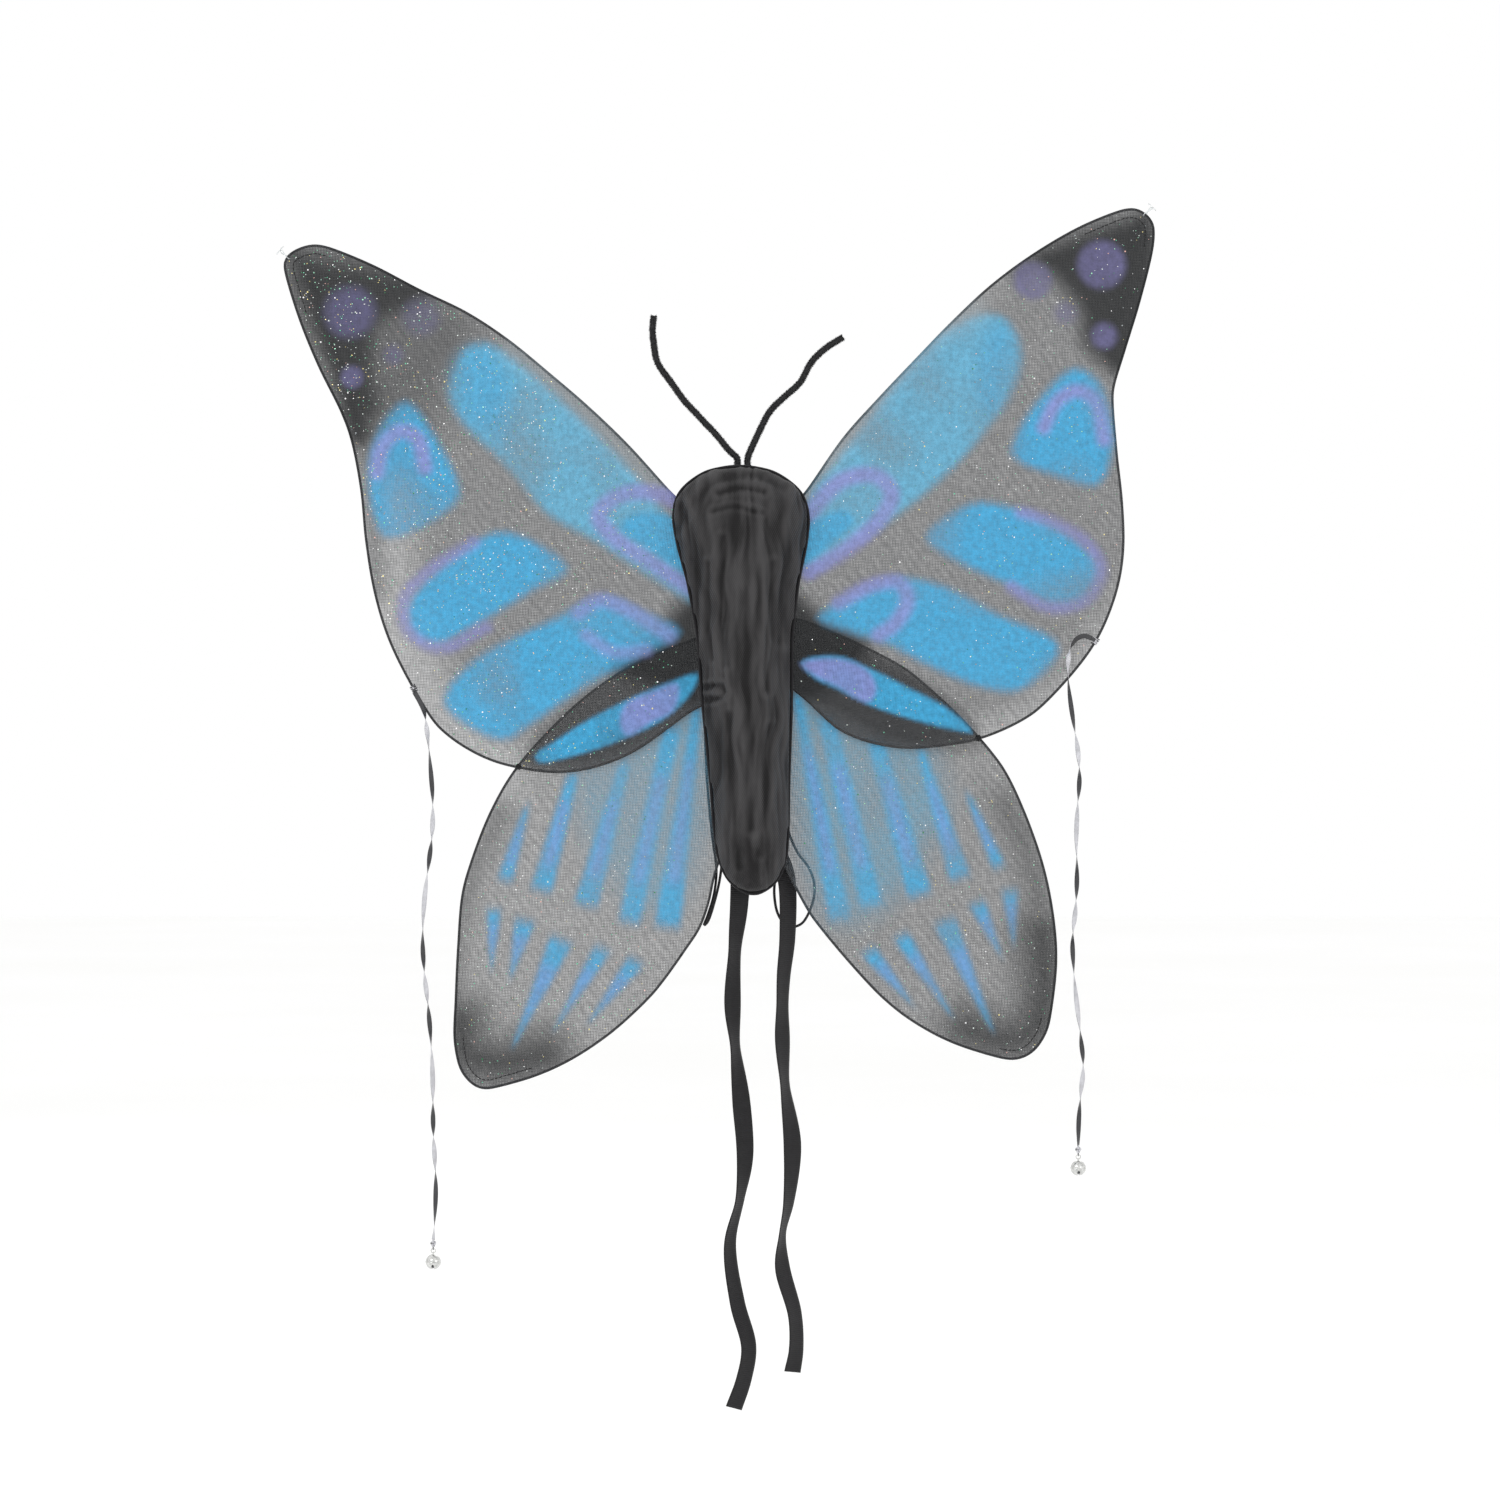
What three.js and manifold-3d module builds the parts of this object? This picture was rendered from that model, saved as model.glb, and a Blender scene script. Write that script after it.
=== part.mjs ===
// Fairy wings: four wire loops sleeved in painted nylon mesh, held by a padded fabric pod.
// Units are millimetres. +X is to the right seen from outside, +Z is up and -Y faces away from
// the wearer. The origin is on the back pad's flat face, which lies against the wearer's back.

import * as THREE from 'three';
import { mergeVertices } from 'three/addons/utils/BufferGeometryUtils.js';
import Module from 'manifold-3d';

const wasm = await Module();
wasm.setup();

// ---------------------------------------------------------------- driving dimensions

const clearance = 0.3;          // between pieces that touch on the real object

// Depths, from the wearer's back outwards
const padThickness = 3.5;
const panelThickness = 3;
const wireDiameter = 2;
const meshThickness = 0.5;      // one layer of stretched nylon
const meshSpread = 0.6;         // each layer's middle, from the wire's middle
const wingSpacing = 3.8;        // lower wings' plane to upper wings' plane
const wrapWall = 1;             // tape wound around the wire roots

// Pod
const podTop = 139;             // above the origin
const podBottom = -204;
const podHalfWidth = 55;
const podDepth = 26;
const podShift = 1;             // of its middle line, at the origin's height
const podLean = 0.033;          // sideways shift of the middle line per unit of height
const coverWall = 1.5;
const panelInset = 1;           // back panel's edge inside the cover's edge
const slimmest = 0.4;           // half width at which a body drawn in from the pod's outline ends

// Back pad
const padWidth = 44;
const padHeight = 130;
const padCorner = 12;

// Flex lines, where the wires bend beside the pod
const flexReach = 58;
const flexShift = -4;
const flexGap = 2.4;            // from a flex line to the pieces on each side of it

// Wings: reach is outwards from the flex line, rise is the tip's height from the origin.
// The outlines run from the upper crossing of the flex line around the tip to the lower one,
// in shares of the reach and the rise. The entries are where the wire goes on inside the line,
// from above and then from below, in shares of the flex line's distance and the rise.
const wings = {
  left_upper: {
    side: -1, layer: 1, reach: 304, rise: 316,
    outline: [
      [0.135, 0.525], [0.313, 0.677], [0.484, 0.804], [0.658, 0.889], [0.832, 0.972],
      [0.934, 0.997], [1.0, 0.962], [0.987, 0.885], [0.954, 0.788], [0.901, 0.668],
      [0.839, 0.544], [0.806, 0.411], [0.793, 0.285], [0.770, 0.139], [0.734, 0.016],
      [0.664, -0.123], [0.595, -0.222], [0.490, -0.291], [0.385, -0.323], [0.253, -0.332],
      [0.105, -0.291],
    ],
    entries: [[[0.80, 0.345], [0.30, 0.265]], [[0.15, -0.135], [0.55, -0.165]]],
    knot: [0.664, -0.123],
  },
  right_upper: {
    side: 1, layer: 1, reach: 272, rise: 344,
    outline: [
      [0.110, 0.483], [0.257, 0.608], [0.404, 0.730], [0.551, 0.837], [0.695, 0.916],
      [0.842, 0.977], [0.952, 1.0], [1.0, 0.971], [1.003, 0.916], [0.978, 0.837],
      [0.952, 0.747], [0.912, 0.654], [0.886, 0.576], [0.893, 0.483], [0.901, 0.390],
      [0.915, 0.297], [0.915, 0.198], [0.893, 0.105], [0.835, -0.003], [0.746, -0.096],
      [0.643, -0.174], [0.500, -0.227], [0.382, -0.244], [0.276, -0.250], [0.165, -0.235],
      [0.081, -0.206],
    ],
    entries: [[[0.80, 0.320], [0.30, 0.245]], [[0.20, -0.125], [0.60, -0.105]]],
    knot: [0.835, -0.003],
  },
  left_lower: {
    side: -1, layer: 0, reach: 169, rise: -358,
    outline: [
      [0.124, 0.047], [0.254, 0.084], [0.391, 0.131], [0.521, 0.187], [0.621, 0.237],
      [0.698, 0.279], [0.811, 0.366], [0.893, 0.458], [0.959, 0.556], [0.982, 0.654],
      [0.988, 0.757], [1.0, 0.830], [1.0, 0.899], [0.964, 0.966], [0.882, 1.0],
      [0.751, 0.992], [0.527, 0.955], [0.302, 0.891], [0.083, 0.799],
    ],
    entries: [[[0.63, -0.002], [0.20, -0.025]], [[0.16, 0.42], [0.35, 0.514], [0.52, 0.626], [0.80, 0.703]]],
  },
  right_lower: {
    side: 1, layer: 0, reach: 196, rise: -335,
    outline: [
      [0.041, -0.030], [0.143, -0.006], [0.260, 0.033], [0.383, 0.069], [0.469, 0.110],
      [0.577, 0.167], [0.679, 0.230], [0.786, 0.310], [0.867, 0.409], [0.939, 0.525],
      [0.985, 0.651], [1.0, 0.758], [0.985, 0.854], [0.959, 0.934], [0.903, 0.982],
      [0.832, 1.0], [0.699, 0.985], [0.556, 0.955], [0.388, 0.899], [0.245, 0.827],
      [0.128, 0.749], [0.005, 0.660],
    ],
    entries: [[[0.72, -0.051], [0.25, -0.040]], [[0.25, 0.43], [0.55, 0.525], [0.80, 0.600]]],
  },
};

const tipSeamInset = 6.5;       // stitched line inside the outline at each tip
const tipSeamReach = 52;        // how far it runs to each side of the tip
const threadDiameter = 0.8;
const tackDiameter = 5;         // thread wound around both wires where they cross
const tackWall = 1.4;           // thread outside the wires, back and front
const hangLoopRadius = 5;
const hangLoopOffset = 3;       // loop's middle, outwards from the wire

// Bindings around the wire roots: heights of their middles
const wrapHeight = 12;
const wrapLead = 4;             // wires run straight past a wrap by this much at least
const wrapTopAt = 30;
const wrapMiddleAt = -16;
const wrapBottomAt = -80;

// Antennae
const antennaDiameter = 6;
const antennaSpread = 4;        // each stem's middle, from the pair's middle, at the pod's top
const antennaGap = 1.7;         // above and below the bend line at a stem's foot
const antennaFold = 38;         // how far the sewn fold goes down inside the pod
const antennaAt = -1;
const leftAntennaRoute = [
  [0, 4], [-7, 11], [-16, 22], [-31, 38], [-43, 51], [-53, 65], [-64, 81], [-67, 96],
  [-68, 107], [-67, 118],
];
const rightAntennaRoute = [
  [0, 4], [3, 12], [10, 27], [18, 42], [29, 53], [42, 65], [51, 81], [62, 92], [76, 101],
];

// Ties, sewn to the panel's lower end: routes run from the tab's lower edge
const tieWidth = 16;
const tieThickness = 1.6;
const tieTab = { width: 15, height: 12, thickness: 1.2 };
const tieLift = 0.4;            // stands a tie off the panel
const ties = {
  left: {
    at: [-3, -174],
    route: [
      [0, -1], [0, -16], [-1, -36], [-4, -66], [-6, -110], [-4, -144], [1, -190], [4, -234],
      [0, -268], [-8, -304], [-2, -352], [7, -387], [3, -413], [-5, -436],
    ],
  },
  right: {
    at: [23, -147],
    route: [
      [0, -1], [0.5, -7], [4, -18], [11, -37], [12, -85], [9, -116], [8, -141], [8, -166], [10, -203],
      [16, -252], [13, -298], [8, -324], [8, -350], [18, -388], [19, -416], [16, -434],
    ],
  },
};

// Arm loops of round elastic: routes run from the upper tab's face to the lower tab's face,
// across, away from the tabs' faces and up
const elasticDiameter = 2.2;
const loopTab = { width: 9, height: 11, thickness: 1.4 };
const armLoops = {
  left: {
    upper: [-31, 98],
    lower: [-17, -156],
    route: [
      [-31, 0, 98], [-31, 3, 97.8], [-31, 6.5, 95], [-31.5, 8.6, 88], [-32, 9, 70], [-33, 9, 40],
      [-33, 9, 0], [-32, 9, -40], [-31, 9, -80], [-29, 9, -120], [-25, 9.5, -160],
      [-22, 10, -184], [-24, 10.5, -204], [-29, 10.5, -221], [-32, 8, -229], [-29, 5.5, -226],
      [-23, 5, -208], [-19, 5, -190], [-17, 5, -170], [-17, 4, -160], [-17, 2.5, -156.5],
      [-17, 0.2, -156],
    ],
  },
  right: {
    upper: [29, 98],
    lower: [27, -128],
    route: [
      [29, 0, 98], [29, 3, 97.8], [29, 6.5, 95], [29.5, 8.6, 88], [30, 9, 70], [31, 9, 40],
      [31, 9, 0], [31, 9, -40], [31, 9, -80], [32, 9, -120], [35, 9, -150], [43, 9, -170],
      [53, 9, -184], [57, 9, -199], [54, 9, -215], [46, 8.5, -228], [36, 8, -230],
      [28, 7, -221], [24.5, 6.5, -204], [26, 6, -184], [27, 6, -160], [27, 5.6, -140],
      [27, 4.4, -132], [27, 2.6, -128.5], [27, 0.2, -128],
    ],
  },
};

// Bell cords: routes run from the knot on the wing's wire, across and up
const cordDiameter = 4;
const cordKnotDiameter = 5.6;
const cordKnotLength = 7;
const cordStandOff = 5.6;       // cord's middle, in front of the wire's middle
const bellCords = {
  left: {
    wing: 'left_upper',
    route: [
      [1, -3], [5, -10], [8.5, -18], [11, -34], [13.5, -60], [15.5, -90], [15, -117],
      [12, -142], [9, -168], [7.5, -201], [9, -228], [11.5, -250], [14, -280], [15.5, -309],
      [16, -353], [18, -395], [17, -426], [16, -440],
    ],
  },
  right: {
    wing: 'right_upper',
    route: [
      [-3, 2], [-9, 4], [-15, 2], [-20, -5], [-22, -16], [-22, -32], [-18, -64], [-14.5, -86],
      [-13, -108], [-14.5, -132], [-15.5, -156], [-15, -186], [-16, -212], [-18.5, -238],
      [-17.5, -264], [-15, -290], [-12, -316], [-10, -340], [-12, -362], [-13.6, -384],
      [-14, -403],
    ],
  },
};
const bellKnotDiameter = 5.4;
const bellKnotLength = 6;
const bellDiameter = 12.7;
const bellWall = 0.6;
const bellSlot = 1.8;
const bellSlotDepth = 6.1;      // up from the bottom of the bell
const shankRadius = 1.75;       // ring on top of the bell, to its wire's middle
const shankWire = 0.9;
const pelletDiameter = 3.6;

// ---------------------------------------------------------------- sizes that follow

const wireRadius = wireDiameter / 2;
const panelBack = -padThickness - clearance;
const panelFront = panelBack - panelThickness;
const lowerPlane = panelFront - 2 * clearance - wrapWall - clearance - wireRadius;
const upperPlane = lowerPlane - wingSpacing;
const planes = [lowerPlane, upperPlane];
const coverBack = upperPlane - wireRadius - clearance - wrapWall - 2 * clearance;
const flexDepth = (lowerPlane + upperPlane) / 2;
const rootRun = wireRadius + clearance / 2;     // wires side by side at the middle
const wrapHalfWidth = rootRun + wireRadius + clearance + wrapWall;
const cordDepth = upperPlane - cordStandOff;
const podHeight = podTop - podBottom;

// Heights between which each layer's wires run side by side through their two bindings
const boundRuns = [
  [wrapMiddleAt + wrapHeight / 2 + wrapLead, wrapBottomAt - wrapHeight / 2 - 7 * wrapLead],
  [wrapTopAt + wrapHeight / 2 + 5 * wrapLead, wrapMiddleAt - wrapHeight / 2 - 3 * wrapLead],
];

// Facets of the wires: how far apart and how sharply bent from one to the next
const longestStep = 42;
const shortestStep = 5;
const sharpestStep = 0.16;

// ---------------------------------------------------------------- helpers

/** Turns a closed geometry into a solid for joining and cutting. */
function toSolid(geometry) {
  const bare = geometry.index ? geometry.clone() : geometry;
  bare.deleteAttribute('normal');
  bare.deleteAttribute('uv');
  const merged = mergeVertices(bare, 1e-4);
  return new wasm.Manifold(new wasm.Mesh({
    numProp: 3,
    vertProperties: new Float32Array(merged.attributes.position.array),
    triVerts: new Uint32Array(merged.index.array),
  }));
}

/** Turns a solid back into a geometry. */
function toGeometry(solid) {
  const mesh = solid.getMesh();
  const geometry = new THREE.BufferGeometry();
  geometry.setAttribute('position', new THREE.BufferAttribute(mesh.vertProperties, 3));
  geometry.setIndex(new THREE.BufferAttribute(mesh.triVerts, 1));
  geometry.computeVertexNormals();
  return geometry;
}

/** Removes each of the cutters' geometries from a geometry. */
function cut(geometry, ...cutters) {
  return toGeometry(cutters.reduce((solid, one) => solid.subtract(toSolid(one)), toSolid(geometry)));
}

/** A smooth curve that an extrusion follows from point to point, however far apart they are. */
class StationCurve extends THREE.CatmullRomCurve3 {
  getPointAt(u) {
    return this.getPoint(u);
  }

  getTangentAt(u) {
    return this.getTangent(u);
  }
}

/** A round tube with a ring of vertices at each station. */
function tubeThrough(stations, diameter, sides = 8) {
  const extrudePath = new StationCurve(stations, false, 'centripetal');
  return new THREE.ExtrudeGeometry(
    circle(diameter, sides), { steps: stations.length - 1, extrudePath, bevelEnabled: false });
}

/** A round section with flat sides. */
function circle(diameter, sides) {
  return new THREE.Shape(Array.from({ length: sides }, (_, i) => {
    const angle = 2 * Math.PI * i / sides;
    return new THREE.Vector2(Math.cos(angle), Math.sin(angle)).multiplyScalar(diameter / 2);
  }));
}

/** A round tube along points, in steps of equal length. */
function tube(points, diameter, steps, sides = 8) {
  const extrudePath = new THREE.CatmullRomCurve3(points, false, 'centripetal');
  return new THREE.ExtrudeGeometry(circle(diameter, sides), { steps, extrudePath, bevelEnabled: false });
}

/** A flat strip along points, its width across X and its thickness through Y. */
function strip(points, width, thickness, steps) {
  const section = new THREE.Shape([
    [-thickness, -width], [thickness, -width], [thickness, width], [-thickness, width],
  ].map(([x, y]) => new THREE.Vector2(x / 2, y / 2)));
  const extrudePath = new THREE.CatmullRomCurve3(points, false, 'centripetal');
  return new THREE.ExtrudeGeometry(section, { steps, extrudePath, bevelEnabled: false });
}

/** A plate in the XZ plane from an outline, from depth `back` towards -Y. */
function plate(shape, back, thickness, curveSegments = 8) {
  return new THREE.ExtrudeGeometry(shape, { depth: thickness, bevelEnabled: false, curveSegments })
    .rotateX(Math.PI / 2)
    .translate(0, back, 0);
}

/** A rounded rectangle around the origin. */
function roundedRectangle(width, height, radius) {
  const [x, y] = [width / 2, height / 2];
  const shape = new THREE.Shape();
  shape.moveTo(-x + radius, -y).lineTo(x - radius, -y)
    .absarc(x - radius, -y + radius, radius, -Math.PI / 2, 0)
    .lineTo(x, y - radius).absarc(x - radius, y - radius, radius, 0, Math.PI / 2)
    .lineTo(-x + radius, y).absarc(-x + radius, y - radius, radius, Math.PI / 2, Math.PI)
    .lineTo(-x, -y + radius).absarc(-x + radius, -y + radius, radius, Math.PI, 1.5 * Math.PI);
  return shape;
}

/** A cylinder through the wings, its axis along Y. */
function crossPin(x, z, diameter, back, front) {
  return new THREE.CylinderGeometry(diameter / 2, diameter / 2, back - front, 20)
    .translate(x, (back + front) / 2, z);
}

/** Joins rings of points, each a closed loop, into one closed body with flat ends. */
function loft(rings) {
  const count = rings[0].length;
  const positions = rings.flat().flatMap((p) => p.toArray());
  const index = [];
  for (let r = 0; r < rings.length - 1; r += 1) {
    for (let i = 0; i < count; i += 1) {
      const next = (i + 1) % count;
      const [a, b, c, d] = [r * count + i, r * count + next, (r + 1) * count + i, (r + 1) * count + next];
      index.push(a, d, b, a, c, d);
    }
  }
  [0, rings.length - 1].forEach((r, end) => {
    for (let i = 1; i < count - 1; i += 1) {
      const [a, b, c] = [r * count, r * count + i, r * count + i + 1];
      index.push(...(end ? [a, c, b] : [a, b, c]));
    }
  });
  const geometry = new THREE.BufferGeometry();
  geometry.setAttribute('position', new THREE.Float32BufferAttribute(positions, 3));
  geometry.setIndex(index);
  geometry.computeVertexNormals();
  return geometry;
}

/** A named mesh with a material of its own. */
function piece(name, geometry, color, roughness = 0.8, metalness = 0) {
  const mesh = new THREE.Mesh(geometry, new THREE.MeshStandardMaterial({ color, roughness, metalness }));
  mesh.name = name;
  return mesh;
}

const black = '#2b2a2c';
const meshGrey = '#6d7076';
const silver = '#c9cacc';

// ---------------------------------------------------------------- wing wires

/** Where a side's flex line lies across the wings. */
function flexLine(side) {
  return flexShift + side * flexReach;
}

/** A wing's whole wire, out around the tip and back through the pod. */
function wireLoop(wing) {
  const line = flexLine(wing.side);
  const free = wing.outline.map(([out, up]) => [line + wing.side * out * wing.reach, up * wing.rise]);
  const entry = Math.abs(line) - rootRun;
  const [above, below] = wing.entries.map((points) => points.map(
    ([out, up]) => [wing.side * (rootRun + out * entry), up * wing.rise]));
  const [runTop, runBottom] = boundRuns[wing.layer].map((z) => [wing.side * rootRun, z]);
  const order = [runTop, ...above.reverse(), ...free, ...below.reverse(), runBottom];
  return new THREE.CatmullRomCurve3(
    order.map(([x, z]) => new THREE.Vector3(x, planes[wing.layer], z)), true, 'centripetal');
}

/** Picks points along a path: closer together where it bends. */
function stations(points, longest, sharpest) {
  const picked = [points[0]];
  let heading = points[1].clone().sub(points[0]);
  for (let i = 1; i < points.length - 1; i += 1) {
    const last = picked[picked.length - 1];
    const next = points[i + 1].clone().sub(points[i]);
    const far = last.distanceTo(points[i]) > longest;
    if (far || (heading.angleTo(next) > sharpest && last.distanceTo(points[i]) > shortestStep)) {
      picked.push(points[i]);
      heading = next;
    }
  }
  const end = points[points.length - 1];
  if (picked[picked.length - 1].distanceTo(end) < shortestStep) {
    picked.pop();
  }
  return [...picked, end];
}

/** Splits a wing's wire at the flex line into the stations outside it and those inside it. */
function splitLoop(wing) {
  const count = 1440;
  const points = wireLoop(wing).getSpacedPoints(count).slice(0, count);
  const beyond = (p) => wing.side * (p.x - flexLine(wing.side));
  const start = points.findIndex((p, i) => beyond(points[(i + count - 1) % count]) < 0 && beyond(p) >= 0);
  const turned = points.map((_, i) => points[(start + i) % count]);
  const free = turned.filter((p) => beyond(p) > flexGap);
  const root = turned.filter((p) => beyond(p) < -flexGap)
    .map((p) => new THREE.Vector3(wing.side * Math.max(wing.side * p.x, rootRun), p.y, p.z));
  return {
    free: stations(free, longestStep, sharpestStep),
    root: stations(root, longestStep / 2, 2 * sharpestStep),
  };
}

/** Moves a closed loop of points in the XZ plane inwards by a distance. */
function inset(points, distance) {
  const area = points.reduce((sum, p, i) => {
    const q = points[(i + 1) % points.length];
    return sum + p.x * q.z - q.x * p.z;
  }, 0);
  const turn = Math.sign(area);
  const normal = (p, q) => new THREE.Vector3(-(q.z - p.z), 0, q.x - p.x).normalize().multiplyScalar(turn);
  return points.map((p, i) => {
    const before = normal(points[(i + points.length - 1) % points.length], p);
    const after = normal(p, points[(i + 1) % points.length]);
    const shift = before.clone().add(after).multiplyScalar(distance / (1 + before.dot(after)));
    return p.clone().add(shift);
  });
}

/** Where two paths in the XZ plane cross, furthest from the middle. */
function crossing(first, second) {
  let found = null;
  for (let i = 0; i < first.length - 1; i += 1) {
    for (let j = 0; j < second.length - 1; j += 1) {
      const [a, b, c, d] = [first[i], first[i + 1], second[j], second[j + 1]];
      const spread = (b.x - a.x) * (d.z - c.z) - (b.z - a.z) * (d.x - c.x);
      const s = ((c.x - a.x) * (d.z - c.z) - (c.z - a.z) * (d.x - c.x)) / spread;
      const t = ((c.x - a.x) * (b.z - a.z) - (c.z - a.z) * (b.x - a.x)) / spread;
      const at = new THREE.Vector3(a.x + s * (b.x - a.x), 0, a.z + s * (b.z - a.z));
      if (s >= 0 && s <= 1 && t >= 0 && t <= 1 && (!found || Math.abs(at.x) > Math.abs(found.x))) {
        found = at;
      }
    }
  }
  return found;
}

const wires = Object.fromEntries(Object.entries(wings).map(([name, wing]) => [name, splitLoop(wing)]));

/** The point of a path nearest to a place, and the path's direction there. */
function nearest(path, x, z) {
  const place = new THREE.Vector3(x, path[0].y, z);
  return path.slice(1).map((end, i) => {
    const line = new THREE.Line3(path[i], end);
    const at = line.closestPointToPoint(place, true, new THREE.Vector3());
    return { at, along: line.delta(new THREE.Vector3()).normalize(), index: i, gap: at.distanceTo(place) };
  }).reduce((best, one) => (one.gap < best.gap ? one : best));
}

/** The station of a wing's wire at its tip, and the wire's direction there. */
function tipOf(name) {
  const { side, rise, reach } = wings[name];
  const path = wires[name].free;
  const corner = new THREE.Vector3(flexLine(side) + side * reach * 1.1, path[0].y, rise * 1.1);
  const gaps = path.map((p) => p.distanceTo(corner));
  const index = gaps.indexOf(Math.min(...gaps));
  return { at: path[index].clone(), along: path[index + 1].clone().sub(path[index - 1]).normalize(), index };
}

const sides = { left: -1, right: 1 };
const tacks = Object.fromEntries(Object.keys(sides).map((side) => [
  side, crossing(wires[`${side}_upper`].free, wires[`${side}_lower`].free),
]));
const knots = Object.fromEntries(Object.entries(bellCords).map(([side, { wing }]) => {
  const { side: sign, reach, rise, knot } = wings[wing];
  return [side, nearest(wires[wing].free, flexLine(sign) + sign * knot[0] * reach, knot[1] * rise)];
}));

/** Thread of a hanging loop at a wing's tip, standing across the wire. */
function hangLoop(tip) {
  const outward = new THREE.Vector3(-tip.along.z, 0, tip.along.x);
  if (outward.dot(new THREE.Vector3(tip.at.x, 0, tip.at.z)) < 0) {
    outward.negate();
  }
  const middle = tip.at.clone().addScaledVector(outward, hangLoopOffset);
  const ring = new THREE.TorusGeometry(hangLoopRadius, threadDiameter / 2, 6, 24);
  const turn = new THREE.Matrix4().makeBasis(outward, new THREE.Vector3(0, 1, 0),
    outward.clone().cross(new THREE.Vector3(0, 1, 0)));
  return {
    geometry: ring.applyMatrix4(turn).translate(middle.x, middle.y, middle.z),
    hole: tip.at.clone().addScaledVector(outward, hangLoopOffset - hangLoopRadius),
  };
}

const hangLoops = Object.fromEntries(Object.keys(sides).map((side) => [
  side, hangLoop(tipOf(`${side}_upper`)),
]));

/** A wing's wire: the free length that flexes with the wing. */
function wingWire(name) {
  return tubeThrough(wires[name].free, wireDiameter);
}

/** The rest of the same wire, held inside the pod. */
function rootWire(name) {
  return tubeThrough(wires[name].root, wireDiameter);
}

/** One layer of mesh stretched inside a wing's wire. */
function wingMesh(name, layerSide) {
  const { side, layer } = wings[name];
  const edge = inset(wires[name].free, wireRadius + clearance);
  const shape = new THREE.Shape(edge.map((p) => new THREE.Vector2(p.x, p.z)));
  const middle = planes[layer] + layerSide * meshSpread;
  const sheet = plate(shape, middle + meshThickness / 2, meshThickness);
  const hand = side < 0 ? 'left' : 'right';
  const hole = ({ x, z }, diameter) => crossPin(x, z, diameter + 2 * clearance, back, front);
  const [back, front] = [lowerPlane + tackDiameter, upperPlane - tackDiameter];
  const holes = [hole(tacks[hand], tackDiameter)];
  if (layer) {
    holes.push(hole(knots[hand].at, Math.hypot(cordKnotDiameter, cordKnotLength)));
    holes.push(hole(hangLoops[hand].hole, threadDiameter + 2 * clearance));
  }
  return cut(sheet, ...holes);
}

/** The sleeve's gathered end, both layers together, from the flex line into the pod. */
function gatheredMesh(name) {
  const { side, layer } = wings[name];
  const innermost = wrapHalfWidth + clearance;
  const edge = inset(wires[name].root, wireRadius + clearance)
    .map((p) => new THREE.Vector2(side * Math.max(side * p.x, innermost), p.z));
  const thickness = 2 * meshSpread + meshThickness;
  return plate(new THREE.Shape(edge), planes[layer] + thickness / 2, thickness);
}

/** The line of stitches that closes the sleeve inside a wing's tip. */
function tipSeam(name) {
  const { index } = tipOf(name);
  const depth = planes[wings[name].layer] - meshSpread - meshThickness / 2 - clearance - threadDiameter / 2;
  const line = inset(wires[name].free, tipSeamInset).map((p) => new THREE.Vector3(p.x, depth, p.z));
  const near = line.filter((p, i) => Math.abs(i - index) < 12 && p.distanceTo(line[index]) < tipSeamReach);
  return tubeThrough(near, threadDiameter, 6);
}

/** Thread wound around the two wires of a side where they cross. */
function tack(side) {
  const { x, z } = tacks[side];
  const [back, front] = [lowerPlane + wireRadius + tackWall, upperPlane - wireRadius - tackWall];
  const body = crossPin(x, z, tackDiameter, back, front);
  const grooves = ['upper', 'lower'].map((row) => {
    const { at, along } = nearest(wires[`${side}_${row}`].free, x, z);
    const ends = [-tackDiameter, tackDiameter].map((d) => at.clone().addScaledVector(along, d));
    return tubeThrough(ends, wireDiameter + 2 * clearance, 12);
  });
  return cut(body, ...grooves);
}

/** The cord's knot: turns of ribbon around the wing's wire. */
function cordKnot(side) {
  const { at, along } = knots[side];
  const [inner, outer] = [wireRadius + 2 * clearance, cordKnotDiameter / 2];
  const half = cordKnotLength / 2;
  const profile = [
    [inner, -half], [outer * 0.8, -half], [outer, -half * 0.65], [outer, half * 0.65],
    [outer * 0.8, half], [inner, half], [inner, -half],
  ].map(([r, h]) => new THREE.Vector2(r, h));
  const mesh = piece(`${side}_cord_knot`, new THREE.LatheGeometry(profile, 16), '#55565a', 0.5);
  mesh.quaternion.setFromUnitVectors(new THREE.Vector3(0, 1, 0), along);
  mesh.position.copy(at);
  return mesh;
}

// ---------------------------------------------------------------- pod

/** The pod's middle line at a height. */
function podMiddle(z) {
  return podShift - podLean * z;
}

// Half the pod's width, in shares of the widest, at heights in shares of the pod's height
const podWidths = new THREE.CatmullRomCurve3([
  [0, 0.02], [0.012, 0.20], [0.035, 0.37], [0.08, 0.50], [0.134, 0.55], [0.28, 0.60],
  [0.42, 0.66], [0.52, 0.69], [0.60, 0.71], [0.66, 0.76], [0.73, 0.83], [0.825, 0.965],
  [0.889, 1.0], [0.938, 0.90], [0.982, 0.56], [0.996, 0.25], [1, 0.02],
].map(([up, wide]) => new THREE.Vector3(wide, 0, up)), false, 'centripetal').getPoints(34);

/** Cross-sections of the pod, drawn in by `drop` all round, from the depth `back`. */
function podRings(drop, back) {
  const arc = 10;       // facets across the front
  return podWidths.filter((p) => p.x * podHalfWidth > drop + slimmest).map((p) => {
    const z = podBottom + p.z * podHeight;
    const half = p.x * podHalfWidth - drop;
    const depth = podDepth * Math.sqrt(p.x) - drop;
    const ring = Array.from({ length: arc + 1 }, (_, i) => {
      const angle = Math.PI * i / arc;
      const [across, out] = [half * Math.cos(angle), depth * Math.sin(angle) ** 0.85];
      return new THREE.Vector3(podMiddle(z) + across, coverBack - out, z);
    });
    const [first, last] = [ring[0], ring[arc]];
    const ends = back > coverBack
      ? [new THREE.Vector3(last.x, back, z), new THREE.Vector3(first.x, back, z)] : [];
    return [...ring, ...ends];
  });
}

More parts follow.
